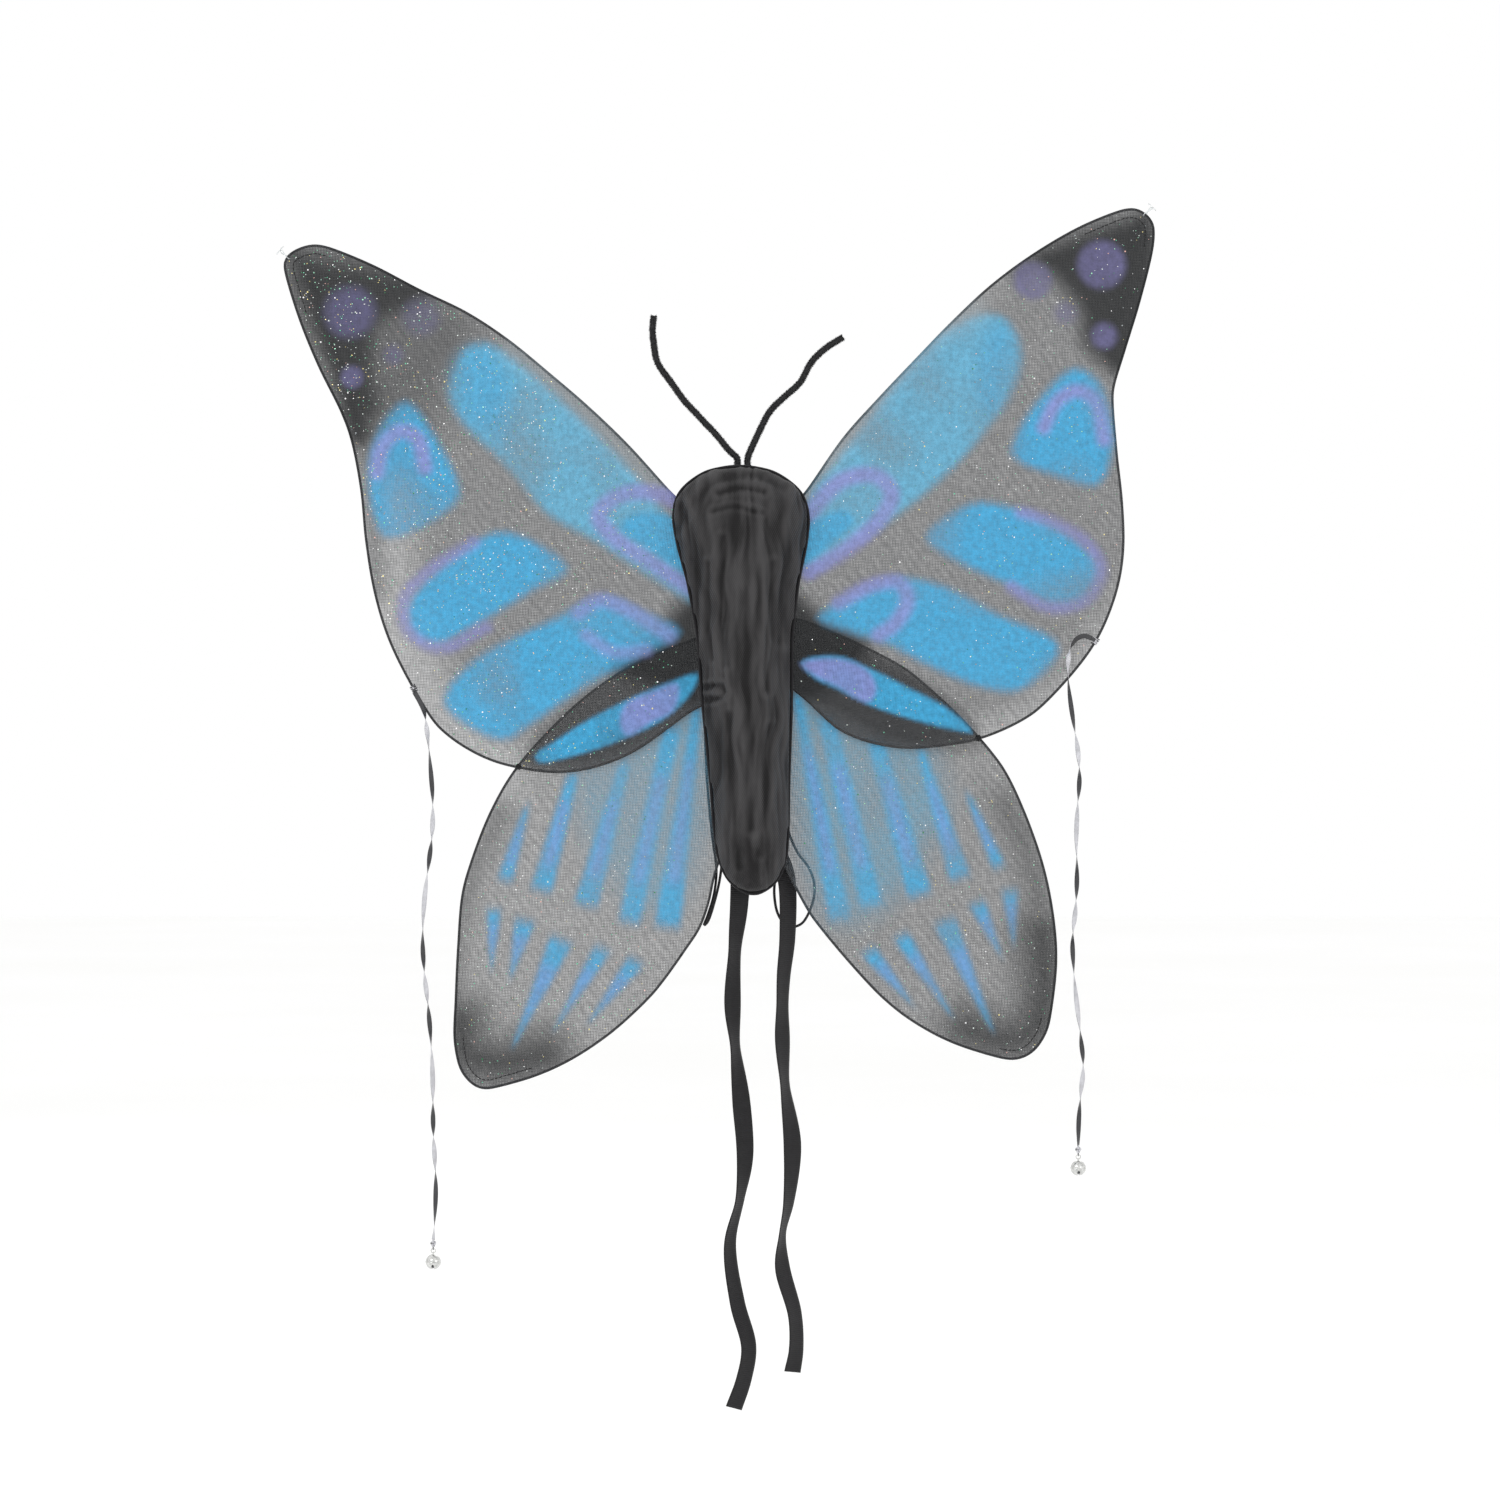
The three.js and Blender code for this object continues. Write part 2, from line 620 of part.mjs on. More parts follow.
/** The pod's outline as a flat shape, drawn in by `drop` at the sides. */
function podOutline(drop) {
  const edge = podWidths.filter((p) => p.x * podHalfWidth > drop + slimmest);
  const at = (p, side) => {
    const z = podBottom + p.z * podHeight;
    return new THREE.Vector2(podMiddle(z) + side * (p.x * podHalfWidth - drop), z);
  };
  return new THREE.Shape([...edge.map((p) => at(p, 1)), ...[...edge].reverse().map((p) => at(p, -1))]);
}

const pod = new THREE.Group();
const coverShell = cut(loft(podRings(0, coverBack)), loft(podRings(coverWall, coverBack + coverWall)));
pod.add(piece('pod_front_cover', coverShell, black, 0.9));
pod.add(piece('pod_stuffing', loft(podRings(coverWall + clearance, coverBack)), '#d8d6cf', 0.95));
pod.add(piece('back_panel', plate(podOutline(panelInset), panelBack, panelThickness), black, 0.9));
const padShape = roundedRectangle(padWidth, padHeight, padCorner);
pod.add(piece('back_pad', plate(padShape, 0, padThickness), '#232224', 0.95));

/** A band of tape around wires that run side by side up the middle. */
function binding(name, at, back, front) {
  const [x, y] = [wrapHalfWidth - wrapWall, (back - front) / 2 + wireRadius + clearance];
  const rectangle = (w, h) => [[-w, -h], [w, -h], [w, h], [-w, h]].map(([a, b]) => new THREE.Vector2(a, b));
  const shape = new THREE.Shape(rectangle(x + wrapWall, y + wrapWall));
  shape.holes.push(new THREE.Path(rectangle(x, y)));
  const band = new THREE.ExtrudeGeometry(shape, { depth: wrapHeight, bevelEnabled: false });
  const mesh = piece(name, band, '#1d1d1f', 0.6);
  mesh.position.set(0, (back + front) / 2, at - wrapHeight / 2);
  return mesh;
}
pod.add(binding('binding_top', wrapTopAt, upperPlane, upperPlane));
pod.add(binding('binding_middle', wrapMiddleAt, lowerPlane, upperPlane));
pod.add(binding('binding_bottom', wrapBottomAt, lowerPlane, lowerPlane));
Object.keys(wings).forEach((name) => {
  pod.add(piece(`${name}_root_wire`, rootWire(name), black, 0.4, 0.3));
  pod.add(piece(`${name}_mesh_root`, gatheredMesh(name), meshGrey, 0.8));
});

// ---------------------------------------------------------------- antennae

const antennaFoot = podTop + 2;
const antennae = new THREE.Group();
const foldRun = [
  [-antennaSpread, -antennaGap], [-antennaSpread, -antennaFold * 0.5],
  [-antennaSpread * 0.95, -antennaFold * 0.85], [0, -antennaFold],
  [antennaSpread * 0.95, -antennaFold * 0.85], [antennaSpread, -antennaFold * 0.5],
  [antennaSpread, -antennaGap],
].map(([x, z]) => new THREE.Vector3(antennaAt + x, flexDepth, antennaFoot + z));
antennae.add(piece('antenna_fold', tube(foldRun, antennaDiameter, 22, 10), black, 1));
Object.entries({ left: leftAntennaRoute, right: rightAntennaRoute }).forEach(([side, route]) => {
  const foot = antennaAt + sides[side] * antennaSpread;
  const points = [[0, antennaGap], ...route]
    .map(([x, z]) => new THREE.Vector3(foot + x, flexDepth, antennaFoot + z));
  antennae.add(piece(`${side}_antenna`, tube(points, antennaDiameter, 26, 10), black, 1));
});

// ---------------------------------------------------------------- ties and arm loops

const straps = new THREE.Group();

/** A small sewn tab on the panel's back. */
function tab(name, [x, z], { width, height, thickness }) {
  const mesh = piece(name, new THREE.BoxGeometry(width, thickness, height), '#1f1e20', 0.9);
  mesh.position.set(x, panelBack + clearance + thickness / 2, z);
  return mesh;
}

const tieDepth = panelBack + tieLift + tieThickness / 2;
Object.entries(ties).forEach(([side, { at: [x, z], route }]) => {
  straps.add(tab(`${side}_tie_tab`, [x, z], tieTab));
  const top = z - tieTab.height / 2;
  const points = route.map(([dx, dz]) => new THREE.Vector3(x + dx, tieDepth, top + dz));
  straps.add(piece(`${side}_tie`, strip(points, tieWidth, tieThickness, 44), black, 0.85));
});
const tabFace = panelBack + clearance + loopTab.thickness;
Object.entries(armLoops).forEach(([side, { upper, lower, route }]) => {
  straps.add(tab(`${side}_loop_upper_tab`, upper, loopTab));
  straps.add(tab(`${side}_loop_lower_tab`, lower, loopTab));
  const points = route.map(([x, y, z]) => new THREE.Vector3(x, tabFace + clearance + y, z));
  straps.add(piece(`${side}_arm_loop`, tube(points, elasticDiameter, 56), black, 0.8));
});

// ---------------------------------------------------------------- wings and bells

/** The jingle bell's shell, slotted crosswise from below. */
function bellShell() {
  const radius = bellDiameter / 2;
  const outer = new THREE.SphereGeometry(radius, 16, 10);
  const inner = new THREE.SphereGeometry(radius - bellWall, 16, 10);
  const across = bellDiameter + 2;
  const slot = (w, d) => new THREE.BoxGeometry(w, 2 * bellSlotDepth, d).translate(0, -radius, 0);
  return cut(outer, inner, slot(across, bellSlot), slot(bellSlot, across)).rotateX(Math.PI / 2);
}

/** A bell hanging under a place, with its ring and its pellet. */
function bell(side, top) {
  const radius = bellDiameter / 2;
  const group = new THREE.Group();
  const ring = new THREE.TorusGeometry(shankRadius, shankWire / 2, 8, 18).rotateX(Math.PI / 2);
  const ringAt = -shankRadius - shankWire / 2;
  const bellAt = 2 * ringAt - clearance - radius;
  group.add(piece(`${side}_bell_ring`, ring, silver, 0.25, 1));
  group.children[0].position.z = ringAt;
  group.add(piece(`${side}_bell`, bellShell(), silver, 0.25, 1));
  group.children[1].position.z = bellAt;
  const pellet = new THREE.SphereGeometry(pelletDiameter / 2, 12, 8);
  group.add(piece(`${side}_bell_pellet`, pellet, '#8b8d90', 0.4, 1));
  group.children[2].position.z = bellAt - radius + bellWall + pelletDiameter / 2 + 2 * clearance;
  group.position.copy(top);
  return group;
}

/** A barrel-shaped knot with its top at the origin. */
function barrelKnot() {
  const [r, h] = [bellKnotDiameter / 2, bellKnotLength];
  const profile = [[0, -h], [r * 0.6, -h], [r, -h * 0.7], [r, -h * 0.3], [r * 0.6, 0], [0, 0]]
    .map(([x, y]) => new THREE.Vector2(x, y));
  return new THREE.LatheGeometry(profile, 14).rotateX(Math.PI / 2);
}

const wingGroups = Object.keys(sides).map((side) => {
  const group = new THREE.Group();
  ['upper', 'lower'].forEach((row) => {
    const name = `${side}_${row}`;
    group.add(piece(`${name}_wire`, wingWire(name), black, 0.4, 0.3));
    group.add(piece(`${name}_mesh_back`, wingMesh(name, 1), meshGrey, 0.8));
    group.add(piece(`${name}_mesh_front`, wingMesh(name, -1), row === 'upper' ? '#5f8fc0' : '#6a93bf', 0.8));
    group.add(piece(`${name}_tip_seam`, tipSeam(name), '#1c1c1e', 0.9));
  });
  group.add(piece(`${side}_tack`, tack(side), '#18181a', 0.9));
  group.add(piece(`${side}_hang_loop`, hangLoops[side].geometry, '#dfe3e6', 0.2));
  group.add(cordKnot(side));

  const { at } = knots[side];
  const points = bellCords[side].route.map(([x, z]) => new THREE.Vector3(at.x + x, cordDepth, at.z + z));
  group.add(piece(`${side}_bell_cord`, tube(points, cordDiameter, 42), '#77787c', 0.45));
  const end = points[points.length - 1].clone();
  const knot = piece(`${side}_bell_knot`, barrelKnot(), '#55565a', 0.5);
  end.z -= clearance;
  knot.position.copy(end);
  group.add(knot);
  end.z -= bellKnotLength + clearance;
  group.add(bell(side, end));
  return group;
});

const fairyWings = new THREE.Group();
fairyWings.add(pod, antennae, straps, ...wingGroups);

export default fairyWings;
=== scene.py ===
"""Fairy wings: four wire loops sleeved in painted nylon net, held by a padded black pod.

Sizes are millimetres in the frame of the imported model, and each mesh is scaled to metres as it
is made. +X is to the right seen from outside, +Z is up, and -Y faces away from the wearer.
"""

import logging
import math
from dataclasses import dataclass
from enum import Enum

import bmesh
import bpy
import numpy as np
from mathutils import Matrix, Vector, kdtree, noise
from mathutils.geometry import delaunay_2d_cdt

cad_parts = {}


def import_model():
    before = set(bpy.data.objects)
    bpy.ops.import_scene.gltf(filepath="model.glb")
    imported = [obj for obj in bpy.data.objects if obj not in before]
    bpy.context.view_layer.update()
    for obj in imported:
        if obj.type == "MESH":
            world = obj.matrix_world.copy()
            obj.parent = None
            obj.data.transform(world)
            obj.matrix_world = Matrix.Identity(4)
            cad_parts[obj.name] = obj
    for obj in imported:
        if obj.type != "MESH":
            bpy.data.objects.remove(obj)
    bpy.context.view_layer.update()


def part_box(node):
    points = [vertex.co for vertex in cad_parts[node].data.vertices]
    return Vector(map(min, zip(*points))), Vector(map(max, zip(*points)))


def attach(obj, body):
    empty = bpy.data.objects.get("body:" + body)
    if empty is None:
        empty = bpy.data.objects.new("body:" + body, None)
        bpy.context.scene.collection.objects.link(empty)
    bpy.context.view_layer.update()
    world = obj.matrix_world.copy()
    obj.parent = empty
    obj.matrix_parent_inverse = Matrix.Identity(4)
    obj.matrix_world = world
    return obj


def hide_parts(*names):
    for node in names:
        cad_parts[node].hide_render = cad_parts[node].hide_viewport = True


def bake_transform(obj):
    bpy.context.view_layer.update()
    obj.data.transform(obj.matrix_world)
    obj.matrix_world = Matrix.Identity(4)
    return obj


log = logging.getLogger("fairy_wings")
MM = 0.001
Points = np.ndarray


class Side(Enum):
    """The two halves of the wings, as seen from outside."""

    LEFT = "left"
    RIGHT = "right"

    @property
    def sign(self) -> int:
        """Direction along X in which this side reaches out."""
        return -1 if self is Side.LEFT else 1

    @property
    def wings(self) -> str:
        """Name of the body that flexes on this side."""
        return f"{self.value}_wings"

    @property
    def flex(self) -> float:
        """Where this side's wires bend beside the pod."""
        return -62.0 if self is Side.LEFT else 54.0


class Row(Enum):
    """The two wings of a side. The upper wing lies in front."""

    UPPER = "upper"
    LOWER = "lower"


class Face(Enum):
    """The two layers of net that a wing's wire carries."""

    FRONT = -1
    BACK = 1


class Ink(Enum):
    """Fabric paints sprayed on the net."""

    BLUE = "#3799c6"
    SKY = "#5a9fbe"
    VIOLET = "#8083c0"
    DUSK = "#625f88"
    SMOKE = "#16181a"
    PALE = "#a9bcc6"
    NET = "#454648"
    THIN = "#ffffff"   # no paint: the net is stretched thin there and lets more light through


# ---------------------------------------------------------------- nodes and colours


def linear(value: str) -> tuple[float, float, float, float]:
    """Turns an sRGB hex value into a linear colour.

    Args:
        value: Six hex digits after a hash sign.

    Returns:
        Linear red, green, blue and an alpha of 1.
    """
    parts = [int(value[i : i + 2], 16) / 255 for i in (1, 3, 5)]
    red, green, blue = (c / 12.92 if c <= 0.04045 else ((c + 0.055) / 1.055) ** 2.4 for c in parts)
    return red, green, blue, 1.0


def add(tree: bpy.types.NodeTree, kind: str, inputs: dict | None = None, **settings) -> bpy.types.Node:
    """Adds a node with its settings, and fills or links its inputs.

    Args:
        tree: The node tree that gets the node.
        kind: The node's type name.
        inputs: Values or output sockets, by the input's name or number.
        settings: Properties of the node itself.

    Returns:
        The new node.
    """
    node = tree.nodes.new(kind)
    for key, value in settings.items():
        setattr(node, key, value)
    for key, value in (inputs or {}).items():
        if isinstance(value, bpy.types.NodeSocket):
            tree.links.new(value, node.inputs[key])
        else:
            node.inputs[key].default_value = value
    return node


def maths(tree: bpy.types.NodeTree, operation: str,
        *values: bpy.types.NodeSocket | float) -> bpy.types.NodeSocket:
    """Adds a maths node.

    Args:
        tree: The node tree.
        operation: What the node works out.
        values: Its inputs, in order.

    Returns:
        The node's result.
    """
    return add(tree, "ShaderNodeMath", dict(enumerate(values)), operation=operation).outputs[0]


def painted(tree: bpy.types.NodeTree, name: str, output: str = "Color") -> bpy.types.NodeSocket:
    """Reads an attribute that the mesh carries.

    Args:
        tree: The node tree.
        name: The attribute's name.
        output: Which of the node's outputs is wanted.

    Returns:
        That output.
    """
    return add(tree, "ShaderNodeAttribute", attribute_name=name).outputs[output]


def ramp(tree: bpy.types.NodeTree, factor: bpy.types.NodeSocket,
        *stops: tuple[float, str]) -> bpy.types.NodeSocket:
    """Adds a colour ramp.

    Args:
        tree: The node tree.
        factor: What drives the ramp.
        stops: Places on the ramp with their hex colours, in order.

    Returns:
        The ramp's colour output.
    """
    node = add(tree, "ShaderNodeValToRGB", {"Fac": factor})
    elements = node.color_ramp.elements
    while len(elements) < len(stops):
        elements.new(0.5)
    for element, (place, colour) in zip(elements, stops):
        element.position = place
        element.color = linear(colour)
    return node.outputs["Color"]


def blank(name: str, **sockets) -> tuple[bpy.types.Material, bpy.types.NodeTree, bpy.types.Node]:
    """Starts a material with only its shader.

    Args:
        name: The material's name.
        sockets: Constants for the shader, with underscores for spaces.

    Returns:
        The material, its node tree and its shader node.
    """
    material = bpy.data.materials.new(name)
    material.use_nodes = True
    tree = material.node_tree
    tree.nodes.clear()
    shader = add(tree, "ShaderNodeBsdfPrincipled", {k.replace("_", " "): v for k, v in sockets.items()})
    add(tree, "ShaderNodeOutputMaterial", {"Surface": shader.outputs["BSDF"]})
    return material, tree, shader


def on_object(tree: bpy.types.NodeTree, scale: tuple[float, float, float],
        turn: float = 0.0) -> bpy.types.NodeSocket:
    """Gives object coordinates, scaled and turned about Y.

    Args:
        tree: The node tree.
        scale: Pattern repeats per metre along each axis.
        turn: Turn about the Y axis in degrees.

    Returns:
        The mapped coordinates.
    """
    place = add(tree, "ShaderNodeTexCoord").outputs["Object"]
    mapped = add(
        tree, "ShaderNodeMapping",
        {"Vector": place, "Rotation": (0, math.radians(turn), 0), "Scale": scale})
    return mapped.outputs["Vector"]


def mottling(tree: bpy.types.NodeTree, scale: float, **settings: float) -> bpy.types.NodeSocket:
    """Adds noise on object coordinates.

    Args:
        tree: The node tree.
        scale: Spots per metre.
        settings: Further inputs of the noise node.

    Returns:
        The noise, from 0 to 1.
    """
    place = on_object(tree, (1, 1, 1))
    return add(tree, "ShaderNodeTexNoise", {"Vector": place, "Scale": scale, **settings}).outputs["Fac"]


def bumped(tree: bpy.types.NodeTree, height: bpy.types.NodeSocket, depth: float) -> bpy.types.NodeSocket:
    """Turns a height pattern into a normal.

    Args:
        tree: The node tree.
        height: The pattern, 0 to 1.
        depth: Depth of the relief in millimetres.

    Returns:
        The normal output.
    """
    node = add(tree, "ShaderNodeBump", {"Height": height, "Distance": depth * MM, "Strength": 1.0})
    return node.outputs["Normal"]


# ---------------------------------------------------------------- curves


def smooth(points: Points, step: float, closed: bool = False) -> Points:
    """Lays one smooth curve through points and divides it evenly.

    Args:
        points: The points, one to a row.
        step: Distance between the points that come back.
        closed: Whether the curve returns to its start.

    Returns:
        Points along the curve. A closed curve doesn't repeat its first one.
    """
    p = np.asarray(points, float)
    ring = np.vstack([p[-1:], p, p[:2]]) if closed else np.vstack([2 * p[0] - p[1], p, 2 * p[-1] - p[-2]])
    share = np.linspace(0, 1, 24, endpoint=False)[:, None]
    parts = []
    for a, b, c, d in zip(ring, ring[1:], ring[2:], ring[3:]):
        t1 = max(np.linalg.norm(b - a), 1e-6) ** 0.5
        t2 = t1 + max(np.linalg.norm(c - b), 1e-6) ** 0.5
        t3 = t2 + max(np.linalg.norm(d - c), 1e-6) ** 0.5
        t = t1 + (t2 - t1) * share
        ab = a + (b - a) * t / t1
        bc = b + (c - b) * (t - t1) / (t2 - t1)
        cd = c + (d - c) * (t - t2) / (t3 - t2)
        left, right = ab + (bc - ab) * t / t2, bc + (cd - bc) * (t - t1) / (t3 - t1)
        parts.append(left + (right - left) * (t - t1) / (t2 - t1))
    return spaced(np.vstack([*parts, ring[1:2] if closed else p[-1:]]), step, closed)


def spaced(line: Points, step: float, closed: bool = False) -> Points:
    """Divides a polyline into even steps.

    Args:
        line: The polyline. A closed one ends on its first point.
        step: Distance between the points that come back.
        closed: Whether the last point is left out, as it repeats the first.

    Returns:
        The evenly spaced points.
    """
    along = np.concatenate([[0], np.cumsum(np.linalg.norm(np.diff(line, axis=0), axis=1))])
    count = max(3, round(along[-1] / step))
    places = np.linspace(0, along[-1], count + 1)
    even = np.column_stack([np.interp(places, along, line[:, i]) for i in range(line.shape[1])])
    return even[:-1] if closed else even


def length_of(line: Points) -> float:
    """Gives a polyline's length."""
    return float(np.linalg.norm(np.diff(line, axis=0), axis=1).sum())


def centreline(node: str) -> Points:
    """Finds the middle of a wire that lies in a plane, from its CAD node.

    Args:
        node: Name of the wire's node.

    Returns:
        Points along the wire's middle, from end to end, in millimetres.
    """
    low, high = (Vector(corner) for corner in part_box(node))
    bm = bmesh.new()
    bm.from_mesh(bpy.data.objects[node].data)
    bmesh.ops.remove_doubles(bm, verts=bm.verts, dist=1e-5)
    crest = {v for v in bm.verts if v.co.y > high.y - 1e-5}
    beside = {v: [e.other_vert(v) for e in v.link_edges if e.other_vert(v) in crest] for v in crest}
    ends = sorted((v for v in crest if len(beside[v]) == 1), key=lambda v: v.co.z)
    chain = [ends[0]]
    while len(chain) < len(crest):
        chain.append(next(v for v in beside[chain[-1]] if v not in chain[-2:]))
    line = np.array([[v.co.x, (low.y + high.y) / 2, v.co.z] for v in chain]) / MM
    bm.free()
    return line


def gap_to(points: Points, line: Points) -> Points:
    """Measures how far points are from a polyline.

    Args:
        points: Points in a plane.
        line: The polyline's points.

    Returns:
        The distance of each point.
    """
    best = np.full(len(points), np.inf)
    for a, b in zip(line, line[1:]):
        edge = b - a
        share = np.clip(((points - a) @ edge) / max(edge @ edge, 1e-9), 0, 1)[:, None]
        best = np.minimum(best, np.linalg.norm(points - a - share * edge, axis=1))
    return best


def inside(points: Points, outline: Points) -> Points:
    """Tells which points lie inside a closed outline.

    Args:
        points: Points in a plane.
        outline: The outline's corners.

    Returns:
        True for each point inside.
    """
    within = np.zeros(len(points), bool)
    x, z = points[:, 0], points[:, 1]
    for (ax, az), (bx, bz) in zip(outline, np.roll(outline, -1, axis=0)):
        if az != bz:
            crosses = ((az > z) != (bz > z)) & (x < (bx - ax) * (z - az) / (bz - az) + ax)
            within ^= crosses
    return within


def ease(value: Points, start: float, end: float) -> Points:
    """Rises smoothly from 0 at start to 1 at end."""
    share = np.clip((value - start) / (end - start), 0, 1)
    return share * share * (3 - 2 * share)


# ---------------------------------------------------------------- meshes


def build(name: str, corners: Points, faces: list, uvs: Points | None = None,
        rounded: bool = True) -> bpy.types.Object:
    """Makes a mesh object from corners in millimetres.

    Args:
        name: The piece's name.
        corners: Corner points, one to a row.
        faces: Corner numbers of each face.
        uvs: A place on the surface for each face corner, in order.
        rounded: Whether the faces are shaded smooth.

    Returns:
        The new object.
    """
    mesh = bpy.data.meshes.new(name)
    mesh.from_pydata((np.asarray(corners) * MM).tolist(), [], faces)
    if uvs is not None:
        mesh.uv_layers.new(name="UVMap").data.foreach_set("uv", np.asarray(uvs, np.float32).ravel())
    mesh.polygons.foreach_set("use_smooth", [rounded] * len(mesh.polygons))
    mesh.update()
    piece = bpy.data.objects.new(name, mesh)
    bpy.context.collection.objects.link(piece)
    return piece


def sweep(name: str, path: Points, section: Points, turns: Points | None = None,
        closed: bool = False) -> bpy.types.Object:
    """Carries a closed section along a path.

    Args:
        name: The piece's name.
        path: Points along the middle.
        section: Corners of the section: first across the path in its own plane, then along Y.
        turns: Twist at each point in radians.
        closed: Whether the path returns to its start.

    Returns:
        The swept object, with U around it and V along it in metres.
    """
    n, k = len(path), len(section)
    if closed:
        around = np.vstack([path[-1:], path, path[:1]])
    else:
        around = np.vstack([2 * path[0] - path[1], path, 2 * path[-1] - path[-2]])
    heading = around[2:] - around[:-2]
    heading /= np.linalg.norm(heading, axis=1)[:, None]
    up = np.array([0.0, 1.0, 0.0]) if abs(heading[0][1]) < 0.9 else np.array([1.0, 0.0, 0.0])
    corners = []
    for i in range(n):
        up = up - heading[i] * (up @ heading[i])
        up /= np.linalg.norm(up)
        across = np.cross(heading[i], up)
        angle = turns[i] if turns is not None else 0.0
        c, s = math.cos(angle), math.sin(angle)
        side, rise = across * c + up * s, up * c - across * s
        corners.append(path[i] + section[:, :1] * side + section[:, 1:] * rise)
    along = np.concatenate([[0],
        np.cumsum(np.linalg.norm(np.diff(np.vstack([path, path[:1]]), axis=0), axis=1))]) * MM
    faces, uvs = [], []
    for i in range(n if closed else n - 1):
        for j in range(k):
            a, b, c, d = i * k + j, i * k + (j + 1) % k, (i + 1) % n * k + (j + 1) % k, (i + 1) % n * k + j
            faces.append((a, b, c, d))
            uvs += [(j / k, along[i]), ((j + 1) / k, along[i]), ((j + 1) / k, along[i + 1]),
                (j / k, along[i + 1])]
    if not closed:
        faces += [tuple(reversed(range(k))), tuple(range((n - 1) * k, n * k))]
        uvs += [(j / k, 0.0) for j in reversed(range(k))] + [(j / k, along[n - 1]) for j in range(k)]
    piece = build(name, np.vstack(corners), faces, uvs)
    outward(piece)
    return piece


def circle(radius: float, sides: int = 10) -> Points:
    """Gives the corners of a round section."""
    angles = np.arange(sides) * 2 * math.pi / sides
    return np.column_stack([np.cos(angles), np.sin(angles)]) * radius


def flat(width: float, thickness: float, across: int = 6, sag: float = 0.0) -> Points:
    """Gives the corners of a flat section that curves a little across its width.

    Args:
        width: The section's width.
        thickness: Its thickness.
        across: Steps across the width.
        sag: How far its middle stands behind its edges.

    Returns:
        The corners, once around.
    """
    x = np.linspace(-0.5, 0.5, across + 1)
    bow = sag * (1 - 4 * x * x)
    edge = thickness / 2 * np.where(np.abs(x) > 0.49, 0.5, 1.0)
    return np.vstack([np.column_stack([x * width, bow - edge]),
        np.column_stack([x * width, bow + edge])[::-1]])


def outward(piece: bpy.types.Object) -> None:
    """Points a closed mesh's faces outwards.

    Args:
        piece: The piece, which is changed.
    """
    bm = bmesh.new()
    bm.from_mesh(piece.data)
    bmesh.ops.recalc_face_normals(bm, faces=bm.faces)
    bm.to_mesh(piece.data)
    bm.free()


def only(*pieces: bpy.types.Object) -> None:
    """Selects these pieces and nothing else."""
    if bpy.context.mode != "OBJECT":
        bpy.ops.object.mode_set(mode="OBJECT")
    bpy.ops.object.select_all(action="DESELECT")
    for piece in pieces:
        piece.select_set(True)
    if pieces:
        bpy.context.view_layer.objects.active = pieces[0]


def modify(piece: bpy.types.Object, kind: str, **settings) -> None:
    """Adds a modifier with its settings and applies it.

    Args:
        piece: The object.
        kind: The modifier's type.
        settings: The modifier's properties.
    """
    only(piece)
    modifier = piece.modifiers.new(kind.title(), kind)
    for key, value in settings.items():
        setattr(modifier, key, value)
    bpy.ops.object.modifier_apply(modifier=modifier.name)


def settle(piece: bpy.types.Object, name: str, angle: float = 40.0) -> bpy.types.Object:
    """Names a modelled piece, moves its place into its mesh and smooths its shading.

    Args:
        piece: The object.
        name: Its name.
        angle: Edges sharper than this stay sharp, in degrees.

    Returns:
        The same object.
    """
    only(piece)
    bpy.ops.object.transform_apply(location=True, rotation=True, scale=True)
    bpy.ops.object.shade_smooth_by_angle(angle=math.radians(angle))
    piece.name = piece.data.name = name
    return piece


def join(name: str, pieces: list[bpy.types.Object]) -> bpy.types.Object:
    """Joins pieces into one object.

    Args:
        name: The new name.
        pieces: The objects to join.

    Returns:
        The joined object.
    """
    only(*pieces)
    if len(pieces) > 1:
        bpy.ops.object.join()
    piece = bpy.context.view_layer.objects.active
    piece.name = piece.data.name = name
    return piece


def stitched(name: str, path: Points, stitch: float, gap: float, radius: float) -> bpy.types.Object:
    """Sews a row of stitches along a path.

    Args:
        name: The piece's name.
        path: Points along the seam.
        stitch: Length of a stitch.
        gap: Cloth between two stitches.
        radius: The thread's radius.

    Returns:
        One object with all the stitches.
    """
    corners, faces = [], []
    fine = spaced(path, 0.5)
    run, hop = round(stitch / 0.5), round((stitch + gap) / 0.5)
    for start in range(0, len(fine) - run, hop):
        a, b = fine[start], fine[start + run]
        along = (b - a) / np.linalg.norm(b - a)
        side = np.cross(along, [0.0, 1.0, 0.0])
        side = side / np.linalg.norm(side) if np.linalg.norm(side) > 0.1 else np.array([1.0, 0.0, 0.0])
        lift = np.cross(side, along)
        base = len(corners)
        for share, wide in ((0, 0.25), (0.14, 0.9), (0.5, 1.0), (0.86, 0.9), (1, 0.25)):
            middle = a + (b - a) * share
            angles = np.arange(6) * math.pi / 3
            corners += [middle + radius * wide * (side * math.cos(t) + lift * math.sin(t)) for t in angles]
        for r in range(4):
            faces += [
                (base + r * 6 + j, base + r * 6 + (j + 1) % 6, base + r * 6 + 6 + (j + 1) % 6,
                    base + r * 6 + 6 + j)
                for j in range(6)]
        faces += [tuple(base + j for j in reversed(range(6))), tuple(base + 24 + j for j in range(6))]
    piece = build(name, np.array(corners), faces)
    outward(piece)
    return piece


